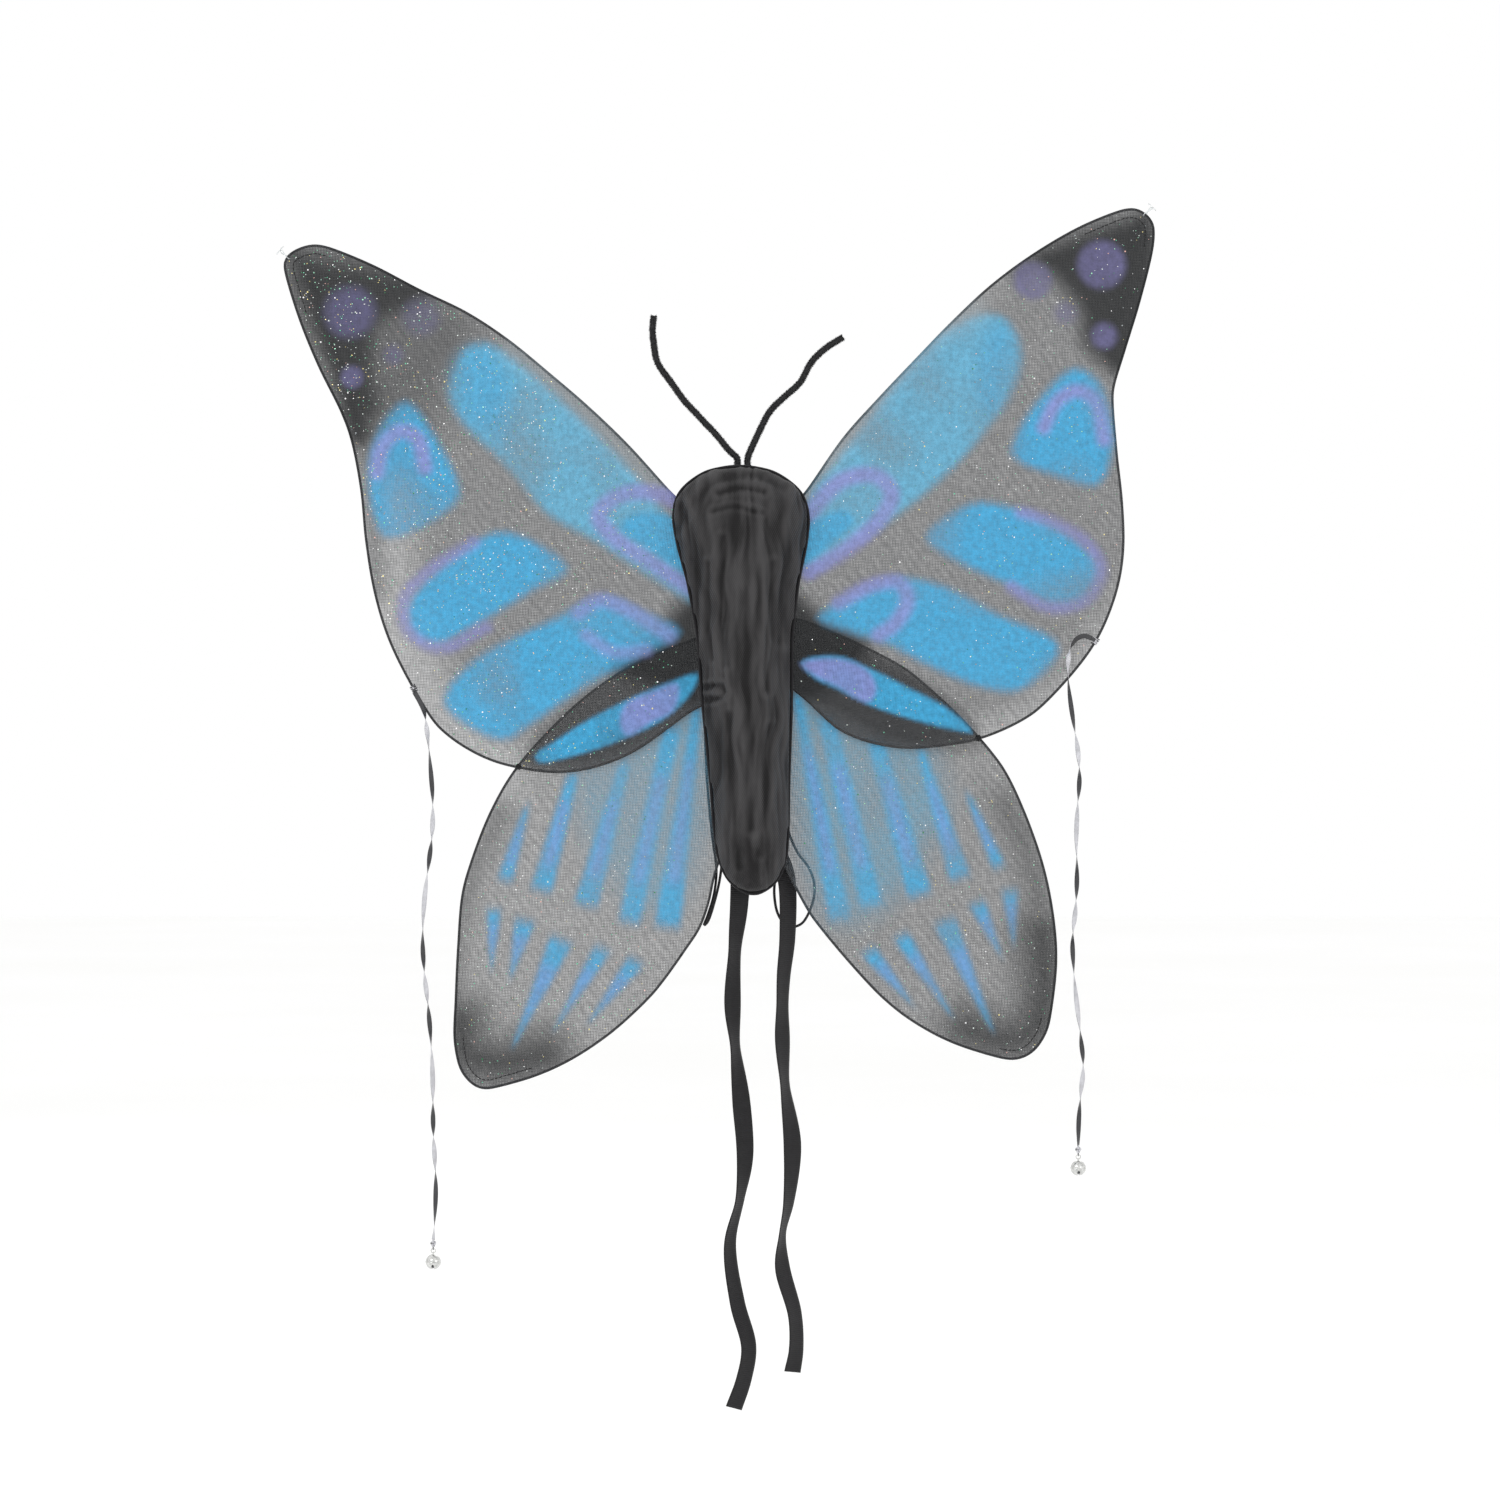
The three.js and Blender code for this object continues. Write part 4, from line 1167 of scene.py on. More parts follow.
@dataclass
class Wing:
    """One wing: a closed wire loop in a sleeve of nylon net, painted and glittered."""

    side: Side
    row: Row
    marks: tuple[Mark, ...]
    flakes: int
    veil: float = 1.0           # how dense the stretched net is, from its usual density
    wire_radius: float = 1.0
    net_gap: float = 0.1        # net's middle off the wire's skin
    sink: float = 0.5           # how far the net sinks towards the wing's plane inside the wire
    root_edge: float = 5.0      # where the sleeve ends inside the pod
    mesh_step: float = 2.7
    bend: tuple[float, float] = (12.0, 14.0)   # from the flex line inwards and outwards

    def __post_init__(self) -> None:
        """Reads the wire's loop from its CAD nodes."""
        self.name = f"{self.side.value}_{self.row.value}"
        free, root = centreline(f"{self.name}_wire"), centreline(f"{self.name}_root_wire")
        if np.linalg.norm(free[-1] - root[0]) > np.linalg.norm(free[-1] - root[-1]):
            root = root[::-1]
        self.loop = smooth(np.vstack([free, root]), 3.0, closed=True)
        self.plane = float(free[0][1])
        clipped = self.loop[:, [0, 2]].copy()
        clipped[:, 0] = self.side.sign * np.maximum(self.side.sign * clipped[:, 0], self.root_edge)
        self.edge = spaced(np.vstack([clipped, clipped[:1]]), self.mesh_step, closed=True)

    def follow(self, piece: bpy.types.Object) -> None:
        """Moves a piece's placement into its mesh."""
        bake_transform(piece)

    def depth(self, gap: Points, face: Face) -> Points:
        """Gives the net's depth at distances from the wire."""
        rise = self.wire_radius + self.net_gap
        return self.plane + face.value * (rise - self.sink * (1 - np.exp(-gap / 7.0)))

    def sleeve(self, face: Face, step: float) -> bpy.types.Object:
        """Stretches one layer of net over the wire.

        Args:
            face: Which layer.
            step: Distance between its mesh points.

        Returns:
            The layer, with its paint in two attributes.
        """
        edge = self.edge
        turn = np.roll(edge, -1, axis=0) - np.roll(edge, 1, axis=0)
        out = np.column_stack([turn[:, 1], -turn[:, 0]]) / np.linalg.norm(turn, axis=1)[:, None]
        area = float(np.sum(edge[:, 0] * np.roll(edge[:, 1], -1) - np.roll(edge[:, 0], -1) * edge[:, 1]))
        out *= math.copysign(1.0, area)
        low, high = edge.min(axis=0), edge.max(axis=0)
        rows = np.arange(low[1], high[1], step * 0.866)
        grid = np.array([
            (x, z) for i, z in enumerate(rows) for x in np.arange(low[0] + (i % 2) * step / 2, high[0],
                step)])
        grid = grid[inside(grid, edge)]
        tree = kdtree.KDTree(len(edge))
        for i, (x, z) in enumerate(edge):
            tree.insert((x, z, 0), i)
        tree.balance()
        grid = np.array([p for p in grid if tree.find((p[0], p[1], 0))[2] > step * 0.6])
        count = len(edge)
        flat_points = np.vstack([edge, grid])
        found, _, faces, origin, _, _ = delaunay_2d_cdt(
            [Vector(p) for p in flat_points], [(i, (i + 1) % count) for i in range(count)], [], 1, 1e-6)
        inner = np.array([[v.x, v.y] for v in found])
        at_edge = {source: i for i, sources in enumerate(origin) for source in sources if source < count}
        gap = np.array([tree.find((x, z, 0))[2] for x, z in inner])
        for i in at_edge.values():
            gap[i] = 0.0
        rise = self.wire_radius + self.net_gap
        corners = [np.column_stack([inner[:, 0], self.depth(gap, face), inner[:, 1]])]
        strips = [[at_edge[i] for i in range(count)]]
        for angle in (50, 0):
            base = sum(len(c) for c in corners)
            shift = rise * math.cos(math.radians(angle))
            lift = self.plane + face.value * rise * math.sin(math.radians(angle))
            ring = edge + out * shift
            corners.append(np.column_stack([ring[:, 0], np.full(count, lift), ring[:, 1]]))
            strips.append([base + i for i in range(count)])
        polygons = [tuple(f) for f in faces]
        for first, second in zip(strips, strips[1:]):
            polygons += [(first[i], first[(i + 1) % count], second[(i + 1) % count],
                second[i]) for i in range(count)]
        points = np.vstack(corners)
        name = f"{self.name}_sleeve_{face.name.lower()}"
        piece = build(name, points, polygons)
        self._face_out(piece, face)
        self._spray(piece, points[:, [0, 2]], face)
        return piece

    @staticmethod
    def _face_out(piece: bpy.types.Object, face: Face) -> None:
        """Turns every face of an open layer to its own side."""
        outward(piece)
        bm = bmesh.new()
        bm.from_mesh(piece.data)
        if sum(f.normal.y * f.calc_area() for f in bm.faces) * face.value < 0:
            bmesh.ops.reverse_faces(bm, faces=bm.faces)
        bm.to_mesh(piece.data)
        bm.free()

    def _spray(self, piece: bpy.types.Object, points: Points, face: Face) -> None:
        """Writes the paint's colour and cover on a layer.

        Args:
            piece: The layer.
            points: Its corners in XZ.
            face: Which layer it is. Only the dark dye reaches the back one.
        """
        colour = np.tile(np.array(linear(Ink.NET.value)), (len(points), 1))
        cover, veil = np.zeros(len(points)), np.full(len(points), self.veil)
        uneven = np.array([noise.noise(Vector((x / 42, z / 42, 8.3))) for x, z in points])
        for mark in self.marks:
            if mark.ink is Ink.THIN:
                veil *= 1 - mark.cover(points)
                continue
            if face is Face.BACK and mark.ink is not Ink.SMOKE:
                continue
            share = mark.cover(points)
            if mark.ink is not Ink.SMOKE:
                share = share * np.clip(0.93 + 0.4 * uneven, 0.6, 1.0)
            if face is Face.BACK:
                share = share * 0.6
            ink = np.array(linear(mark.ink.value))
            colour += share[:, None] * (ink - colour)
            full = 0.93 if mark.ink is not Ink.SMOKE else 0.9
            if mark.ink is Ink.SMOKE:
                cover = np.maximum(cover, share * full)
            else:
                cover = cover + share * (full - cover)
        colour[:, 3] = 1.0
        shares = np.column_stack([cover, veil, np.zeros(len(points)), np.ones(len(points))])
        for name, values in (("paint", colour), ("layer", shares)):
            layer = piece.data.attributes.new(name, "FLOAT_COLOR", "POINT")
            layer.data.foreach_set("color", values.astype(np.float32).ravel())

    def glitter(self) -> bpy.types.Object:
        """Scatters glitter flakes over the front layer, outside the pod.

        Returns:
            All the flakes as one piece.
        """
        rng = np.random.default_rng(7 + len(self.name) + self.flakes)
        low, high = self.edge.min(axis=0), self.edge.max(axis=0)
        spots = rng.uniform(low, high, (self.flakes * 4, 2))
        spots = spots[inside(spots, self.edge)]
        beyond = self.side.sign * (spots[:, 0] - self.side.flex) > -8
        spots = spots[beyond]
        # flakes lie in drifts, and thicker towards the outer edge
        drift = np.array([noise.noise(Vector((x / 38, z / 38, 3.1))) for x, z in spots])
        outer = np.abs(spots[:, 0]) / np.abs(self.edge[:, 0]).max()
        keep = rng.uniform(0, 1, len(spots)) < np.clip(0.45 + drift * 0.8 + (outer - 0.5) * 0.5, 0.08, 1)
        spots = spots[keep][: self.flakes]
        tree = kdtree.KDTree(len(self.edge))
        for i, (x, z) in enumerate(self.edge):
            tree.insert((x, z, 0), i)
        tree.balance()
        gap = np.array([tree.find((x, z, 0))[2] for x, z in spots])
        spots, gap = spots[gap > 2.0], gap[gap > 2.0]
        depth = self.depth(gap, Face.FRONT) - 0.3
        palette = [linear(c)[:3] for c in ("#ffffff", "#e4efe8", "#a2dcbc", "#efe09a", "#70c4a0", "#3f8a5c",
            "#e8b8ae", "#9aa0a2")]
        chance = [0.16, 0.14, 0.15, 0.10, 0.14, 0.12, 0.08, 0.11]
        corners, faces, tints = [], [], []
        ring = np.arange(6) * math.pi / 3
        for (x, z), y in zip(spots, depth):
            size = rng.uniform(0.24, 0.46) * (1.5 if rng.uniform() < 0.12 else 1.0)
            spin, lean, roll = rng.uniform(0, math.pi), rng.normal(0, 0.12), rng.normal(0, 0.12)
            base = len(corners)
            for t in ring:
                dx, dz = size * math.cos(t + spin), size * math.sin(t + spin)   # this order faces the front
                corners.append((x + dx, y + dx * lean + dz * roll, z + dz))
            faces.append(tuple(base + j for j in range(6)))
            tints += [(*palette[rng.choice(len(palette), p=chance)], 1.0)] * 6
        piece = build(f"{self.name}_glitter", np.array(corners), faces, rounded=False)
        piece.data.attributes.new("flake", "FLOAT_COLOR", "POINT").data.foreach_set(
            "color", np.array(tints, np.float32).ravel())
        return piece

    def assemble(self, wardrobe: Wardrobe) -> None:
        """Makes the wing's wire, sleeve, tip seam and glitter."""
        body = self.side.wings
        wire = sweep(f"{self.name}_wire_loop", self.loop, circle(self.wire_radius), closed=True)
        finish_piece(wire, wardrobe.wire,
            nodes=(f"{self.name}_wire", f"{self.name}_root_wire"))
        self.follow(wire)
        front, back = self.sleeve(Face.FRONT, self.mesh_step), self.sleeve(Face.BACK, self.mesh_step * 1.5)
        finish_piece(front, wardrobe.front_net, nodes=(f"{self.name}_mesh_front",))
        finish_piece(
            back, wardrobe.back_net, nodes=(f"{self.name}_mesh_back", f"{self.name}_mesh_root"))
        seam_line = smooth(centreline(f"{self.name}_tip_seam"), 1.0)
        seam_line[:, 1] = self.plane - 0.95
        seam = stitched(f"{self.name}_tip_stitches", seam_line, 2.8, 0.6, 0.42)
        finish_piece(seam, wardrobe.thread, body, (f"{self.name}_tip_seam",))
        flakes = finish_piece(self.glitter(), wardrobe.flakes)
        for layer in (front, back):
            self.follow(layer)
        self.follow(flakes)


# ---------------------------------------------------------------- pod


@dataclass(frozen=True)
class Crease:
    """A fold pressed into the pod's cover."""

    line: tuple[tuple[float, float], ...]
    depth: float
    width: float


@dataclass
class Pod:
    """The padded black body: front cover, edge piping, back panel and back pad."""

    top: float = 139.0
    bottom: float = -204.0
    half_width: float = 55.0
    bulge: float = 26.0
    shift: float = 1.0
    lean: float = 0.033
    seat: float = -16.6          # depth of the cover's flat back
    panel_back: float = -3.8
    panel_front: float = -6.8
    swell: float = 5.0           # most that the padding may push the cover
    voxel: float = 4.5
    fold_depth: float = 1.7

    shares = (
        (0, 0.02), (0.012, 0.20), (0.035, 0.37), (0.08, 0.50), (0.134, 0.55), (0.28, 0.60), (0.42, 0.66),
        (0.52, 0.69), (0.60, 0.71), (0.66, 0.76), (0.73, 0.83), (0.825, 0.965), (0.889, 1.0), (0.938, 0.90),
        (0.982, 0.56), (0.996, 0.25), (1, 0.02))
    creases = (
        Crease(((-50, 106), (-43, 88), (-38, 62), (-37, 30), (-39, 5)), 1.6, 3.0),
        Crease(((44, 112), (40, 80), (33, 40), (30, 0)), 0.9, 3.5),
        Crease(((-20, 116), (-2, 120), (16, 117)), 1.2, 2.2),
        Crease(((-25, 101), (-8, 105), (14, 100)), 0.9, 1.8),
        Crease(((-40, -36), (-30, -38), (-19, -36), (-15, -42)), 1.8, 2.0),
        Crease(((-39, -45), (-28, -48), (-18, -46)), 1.8, 2.0),
        Crease(((-17, 80), (-19, 20), (-14, -20)), 1.0, 2.4),
        Crease(((6, 100), (2, 30), (4, -60), (7, -150)), 1.2, 3.0),
        Crease(((-12, -60), (-9, -120), (-4, -180)), 1.0, 2.6),
        Crease(((24, 60), (20, 0), (18, -40)), 1.1, 2.6),
        Crease(((22, -70), (17, -130), (13, -170)), 0.9, 2.6),
        Crease(((-28, 60), (-29, 15), (-24, -15)), 1.1, 2.2),
        Crease(((-52, 88), (-40, 108), (-20, 126), (8, 130), (32, 120)), 0.7, 3.0),
    )

    def outline(self, drop: float, step: float = 4.0) -> Points:
        """Gives the pod's outline, drawn in by a distance at its sides."""
        widths = smooth(np.array(self.shares, float) * [self.top - self.bottom, self.half_width], step)
        rows = [(self.bottom + up, wide - drop) for up, wide in widths if wide > drop + 0.6]
        middle = [self.shift - self.lean * z for z, _ in rows]
        right = [(m + w, z) for m, (z, w) in zip(middle, rows)]
        left = [(m - w, z) for m, (z, w) in zip(middle, rows)]
        return np.array(right + left[::-1])

    def cover(self) -> bpy.types.Object:
        """Pads the front cover and settles its folds.

        Returns:
            The padded cover.
        """
        drop, arc = 0.7, 22
        widths = smooth(np.array(self.shares, float) * [self.top - self.bottom, self.half_width], 5.0)
        rings = []
        for up, wide in widths:
            if wide < drop + 1.0:
                continue
            z = self.bottom + up
            middle = self.shift - self.lean * z
            depth = self.bulge * math.sqrt(wide / self.half_width) - drop
            angles = np.pi * np.arange(arc + 1) / arc
            front = np.column_stack([
                middle + (wide - drop) * np.cos(angles), self.seat - depth * np.sin(angles) ** 0.8,
                np.full(arc + 1, z)])
            across = np.linspace(-1, 1, 10)[1:-1]
            back = np.column_stack([
                middle + (wide - drop) * across, np.full(len(across), self.seat), np.full(len(across), z)])
            rings.append(np.vstack([front, back]))
        k = len(rings[0])
        faces = [
            (r * k + i, r * k + (i + 1) % k, (r + 1) * k + (i + 1) % k, (r + 1) * k + i)
            for r in range(len(rings) - 1) for i in range(k)]
        faces += [tuple(range(k)), tuple((len(rings) - 1) * k + i for i in range(k))]
        pillow = build("pod_cover", np.vstack(rings), faces)
        outward(pillow)
        modify(pillow, "REMESH", mode="VOXEL", voxel_size=self.voxel * MM)
        self._fill(pillow)
        modify(pillow, "SUBSURF", levels=1, render_levels=1)
        modify(pillow, "SUBSURF", levels=1, render_levels=1)
        self._fold(pillow)
        pillow.data.polygons.foreach_set("use_smooth", [True] * len(pillow.data.polygons))
        return pillow

    def _fill(self, pillow: bpy.types.Object) -> None:
        """Blows the cover up from inside, as its stuffing does, and keeps its back flat."""
        before = [v.co.copy() for v in pillow.data.vertices]
        only(pillow)
        cloth = pillow.modifiers.new("Cloth", "CLOTH")
        cloth.settings.quality = 5
        cloth.settings.use_pressure = True
        cloth.settings.uniform_pressure_force = 4
        cloth.settings.effector_weights.gravity = 0
        cloth.point_cache.frame_start, cloth.point_cache.frame_end = 1, 20
        for step in range(1, 21):
            bpy.context.scene.frame_set(step)
        bpy.ops.object.modifier_apply(modifier=cloth.name)
        bpy.context.scene.frame_set(1)
        for vertex, start in zip(pillow.data.vertices, before):
            move = vertex.co - start
            if move.length > self.swell * MM:
                move = move.normalized() * self.swell * MM
            # the edge is sewn down, so it keeps its outline
            free = min(max((self.seat - 1.5 - start.y / MM) / 12.0, 0.0), 1.0)
            vertex.co = start + move * free
            vertex.co.y = min(vertex.co.y, (self.seat + 0.2) * MM)

    def _fold(self, pillow: bpy.types.Object) -> None:
        """Presses long folds and creases into the cover's front, and paints shade into them: a fold attribute
        that is darker in the creases and lighter on the crests.
        """
        points = np.array([v.co for v in pillow.data.vertices]) / MM
        normals = np.array([v.normal for v in pillow.data.vertices])
        flat_points = points[:, [0, 2]]
        drop = np.zeros(len(points))
        for crease in self.creases:
            gap = gap_to(flat_points, smooth(np.array(crease.line, float), 6.0))
            hollow = np.exp(-((gap / crease.width) ** 2))
            swell = np.exp(-(((gap - 2.2 * crease.width) / crease.width) ** 2))
            drop += crease.depth * (hollow - 0.55 * swell)
        for i, (x, _, z) in enumerate(points):
            sway = x + 7 * noise.noise(Vector((x / 24, z / 38, 9.1)))
            ripple = noise.noise(Vector((sway / 7, z / 60, 1.7))) + 0.7 * noise.noise(Vector((sway / 3.4,
                z / 24, 5.2)))
            drop[i] += self.fold_depth * ripple
        front = ease(self.seat - points[:, 1], 1.5, 8.0)
        # painted shade: the cover's colour goes darker where it is pressed in and lighter where it stands out
        shade = np.clip(0.5 - 0.32 * drop * front, 0, 1).astype(np.float32)
        pillow.data.attributes.new("fold", "FLOAT", "POINT").data.foreach_set("value", shade)
        moved = points - normals * (drop * front)[:, None]
        pillow.data.vertices.foreach_set("co", (moved * MM).astype(np.float32).ravel())
        pillow.data.update()

    def assemble(self, wardrobe: Wardrobe) -> None:
        """Makes every piece of the pod."""
        cover = self.cover()
        finish_piece(cover, wardrobe.pod, "root", ("pod_front_cover", "pod_stuffing"))
        rim = self.outline(1.3)
        path = np.column_stack([rim[:, 0], np.full(len(rim), self.seat + 0.45), rim[:, 1]])
        piping = sweep("pod_piping", smooth(path, 3.0, closed=True), circle(1.25, 8), closed=True)
        finish_piece(piping, wardrobe.panel, "root")
        panel = rounded_plate("pod_back_panel", self.outline(1.0), self.panel_back, self.panel_front, 1.1)
        finish_piece(panel, wardrobe.panel, "root", ("back_panel",))
        rim = self.outline(5.0)
        path = np.column_stack([rim[:, 0], np.full(len(rim), self.panel_back + 0.05), rim[:, 1]])
        path = smooth(path, 1.0, closed=True)
        seam = stitched("panel_topstitch", np.vstack([path, path[:1]]), 3.0, 1.0, 0.35)
        finish_piece(seam, wardrobe.thread, "root")
        self.pad(wardrobe)
        for name in ("binding_top", "binding_middle", "binding_bottom"):
            dress(name, wardrobe.tape)

    def pad(self, wardrobe: Wardrobe) -> None:
        """Makes the felt pad that lies on the wearer's back."""
        low, high = (Vector(c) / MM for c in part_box("back_pad"))
        corner = 12.0
        x, z = (high.x - low.x) / 2, (high.z - low.z) / 2
        rim = []
        for sx, sz, start in ((1, 1, 0), (-1, 1, 90), (-1, -1, 180), (1, -1, 270)):
            for t in np.radians(np.linspace(start, start + 90, 9)):
                rim.append((sx * (x - corner) + corner * math.cos(t),
                    sz * (z - corner) + corner * math.sin(t)))
        rim = np.array(rim) + [(low.x + high.x) / 2, (low.z + high.z) / 2]
        pad = rounded_plate("back_pad_felt", rim, high.y, low.y, 1.5)
        finish_piece(pad, wardrobe.pad, "root", ("back_pad",))
        inner = (rim - rim.mean(axis=0)) * [0.86, 0.955] + rim.mean(axis=0)
        path = np.column_stack([inner[:, 0], np.full(len(inner), high.y - 0.3), inner[:, 1]])
        seam = stitched("back_pad_stitches", spaced(np.vstack([path, path[:1]]), 1.0), 3.0, 1.2, 0.35)
        finish_piece(seam, wardrobe.thread, "root")


def dress(name: str, material: bpy.types.Material) -> None:
    """Gives a CAD node that stays visible its finish."""
    node = bpy.data.objects[name]
    for slot in node.material_slots:
        slot.material = material
    log.info("%s: CAD node dressed", name)


@dataclass
class SewnTab:
    """A folded end of ribbon or elastic, sewn flat on the panel's back."""

    node: str
    stitch: float = 1.8

    def assemble(self, wardrobe: Wardrobe) -> None:
        """Makes the tab and its square of stitches."""
        low, high = (Vector(c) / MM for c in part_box(self.node))
        only()
        bpy.ops.mesh.primitive_cube_add(size=1, location=(low + high) / 2 * MM, scale=(high - low) * MM)
        tab = bpy.context.object
        modify(tab, "BEVEL", width=0.45 * MM, segments=2)
        tab = settle(tab, f"{self.node}_fold", 50)
        finish_piece(tab, wardrobe.tie, "root", (self.node,))
        inset = 1.6
        ring = np.array([
            (low.x + inset, high.y, low.z + inset), (high.x - inset, high.y, low.z + inset),
            (high.x - inset, high.y, high.z - inset), (low.x + inset, high.y, high.z - inset),
            (low.x + inset, high.y, low.z + inset), (high.x - inset, high.y, high.z - inset)])
        seam = stitched(f"{self.node}_stitches", ring, self.stitch, 0.6, 0.28)
        finish_piece(seam, wardrobe.thread, "root")


# ---------------------------------------------------------------- antennae


@dataclass
class Antenna:
    """A chenille stem: twisted wire with pile all round, sewn into the pod's top."""

    side: Side
    route: tuple[tuple[float, float], ...]
    foot: tuple[float, float, float]
    buried: float = 16.0         # how far the stem goes down inside the pod
    core: float = 2.3
    pile: float = 3.6
    tufts: int = 9000

    def assemble(self, wardrobe: Wardrobe) -> None:
        """Makes the stem and its pile."""
        x, y, z = self.foot
        points = [(x, y, z - self.buried), (x, y, z - self.buried / 2), (x, y, z + 1.7)]
        points += [(x + dx, y, z + dz) for dx, dz in self.route]
        path = smooth(np.array(points), 2.0)
        nodes = (f"{self.side.value}_antenna",)
        if self.side is Side.LEFT:
            nodes += ("antenna_fold",)
        stem = sweep(f"{self.side.value}_antenna_stem", path, circle(self.core, 8))
        finish_piece(stem, wardrobe.stem)
        pile = finish_piece(self._pile(path), wardrobe.chenille, nodes=nodes)
        for piece in (stem, pile):
            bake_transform(piece)

    def _pile(self, path: Points) -> bpy.types.Object:
        """Sets slim tufts around the stem, in the spiral of its twisted wires.

        Args:
            path: The stem's middle.

        Returns:
            The tufts as one piece.
        """
        rng = np.random.default_rng(11 if self.side is Side.LEFT else 12)
        fine = spaced(path, 0.25)
        heading = np.gradient(fine, axis=0)
        heading /= np.linalg.norm(heading, axis=1)[:, None]
        corners, faces = [], []
        for i in range(self.tufts):
            at = rng.integers(0, len(fine))
            along = heading[at]
            up = np.array([0.0, 1.0, 0.0])
            side = np.cross(along, up)
            angle = at * 0.9 + rng.uniform(0, 2 * math.pi)
            ray = side * math.cos(angle) + up * math.sin(angle)
            lean = rng.normal(0.1, 0.3)
            tip = fine[at] + (ray + along * lean) * (self.pile * rng.uniform(0.86, 1.0) / math.hypot(1, lean))
            width = np.cross(along, ray) * 0.5
            base = len(corners)
            corners += [fine[at] + ray * 0.4 + width, fine[at] + ray * 0.4 - width * 0.6 + along * 0.3,
                        fine[at] + ray * 0.4 - width * 0.6 - along * 0.3, tip]
            faces += [(base, base + 1, base + 3), (base + 1, base + 2, base + 3),
                (base + 2, base, base + 3), (base, base + 2, base + 1)]
        piece = build(f"{self.side.value}_antenna_pile", np.array(corners), faces, rounded=False)
        outward(piece)
        return piece


# ---------------------------------------------------------------- ties and arm loops


@dataclass
class Tie:
    """A long grosgrain ribbon hanging from its tab, twisting as it falls."""

    side: Side
    top: tuple[float, float]
    route: tuple[tuple[float, float], ...]
    twists: tuple[tuple[float, float], ...]   # height and turn in degrees
    width: float = 15.5
    thickness: float = 0.9
    depth: float = -2.6

    def path(self) -> Points:
        """Gives the ribbon's middle from its tab to its end."""
        x, z = self.top
        return smooth(np.array([(x + dx, self.depth, z + dz) for dx, dz in self.route], float), 3.0)

    def assemble(self, wardrobe: Wardrobe) -> None:
        """Makes the ribbon."""
        path = self.path()
        heights, degrees = zip(*sorted(self.twists))
        turns = np.radians(np.interp(path[:, 2], heights, degrees))
        kernel = np.hanning(13) / np.hanning(13).sum()
        turns = np.convolve(np.pad(turns, 6, mode="edge"), kernel, mode="valid")
        ribbon = sweep(f"{self.side.value}_tie_ribbon", path, flat(self.width, self.thickness, 8, 0.5), turns)
        finish_piece(ribbon, wardrobe.tie, "root", (f"{self.side.value}_tie",))


@dataclass
class ArmLoop:
    """A loop of round elastic from the panel's upper tab to its lower one."""

    side: Side
    route: tuple[tuple[float, float, float], ...]
    face: float = -1.8
    radius: float = 1.1

    def path(self) -> Points:
        """Gives the elastic's middle."""
        return smooth(np.array([(x, self.face + y, z) for x, y, z in self.route], float), 2.0)

    def assemble(self, wardrobe: Wardrobe) -> None:
        """Makes the elastic."""
        path = self.path()
        elastic = sweep(f"{self.side.value}_arm_elastic", path, circle(self.radius, 10))
        finish_piece(elastic, wardrobe.elastic, "root", (f"{self.side.value}_arm_loop",))


# ---------------------------------------------------------------- bell cords


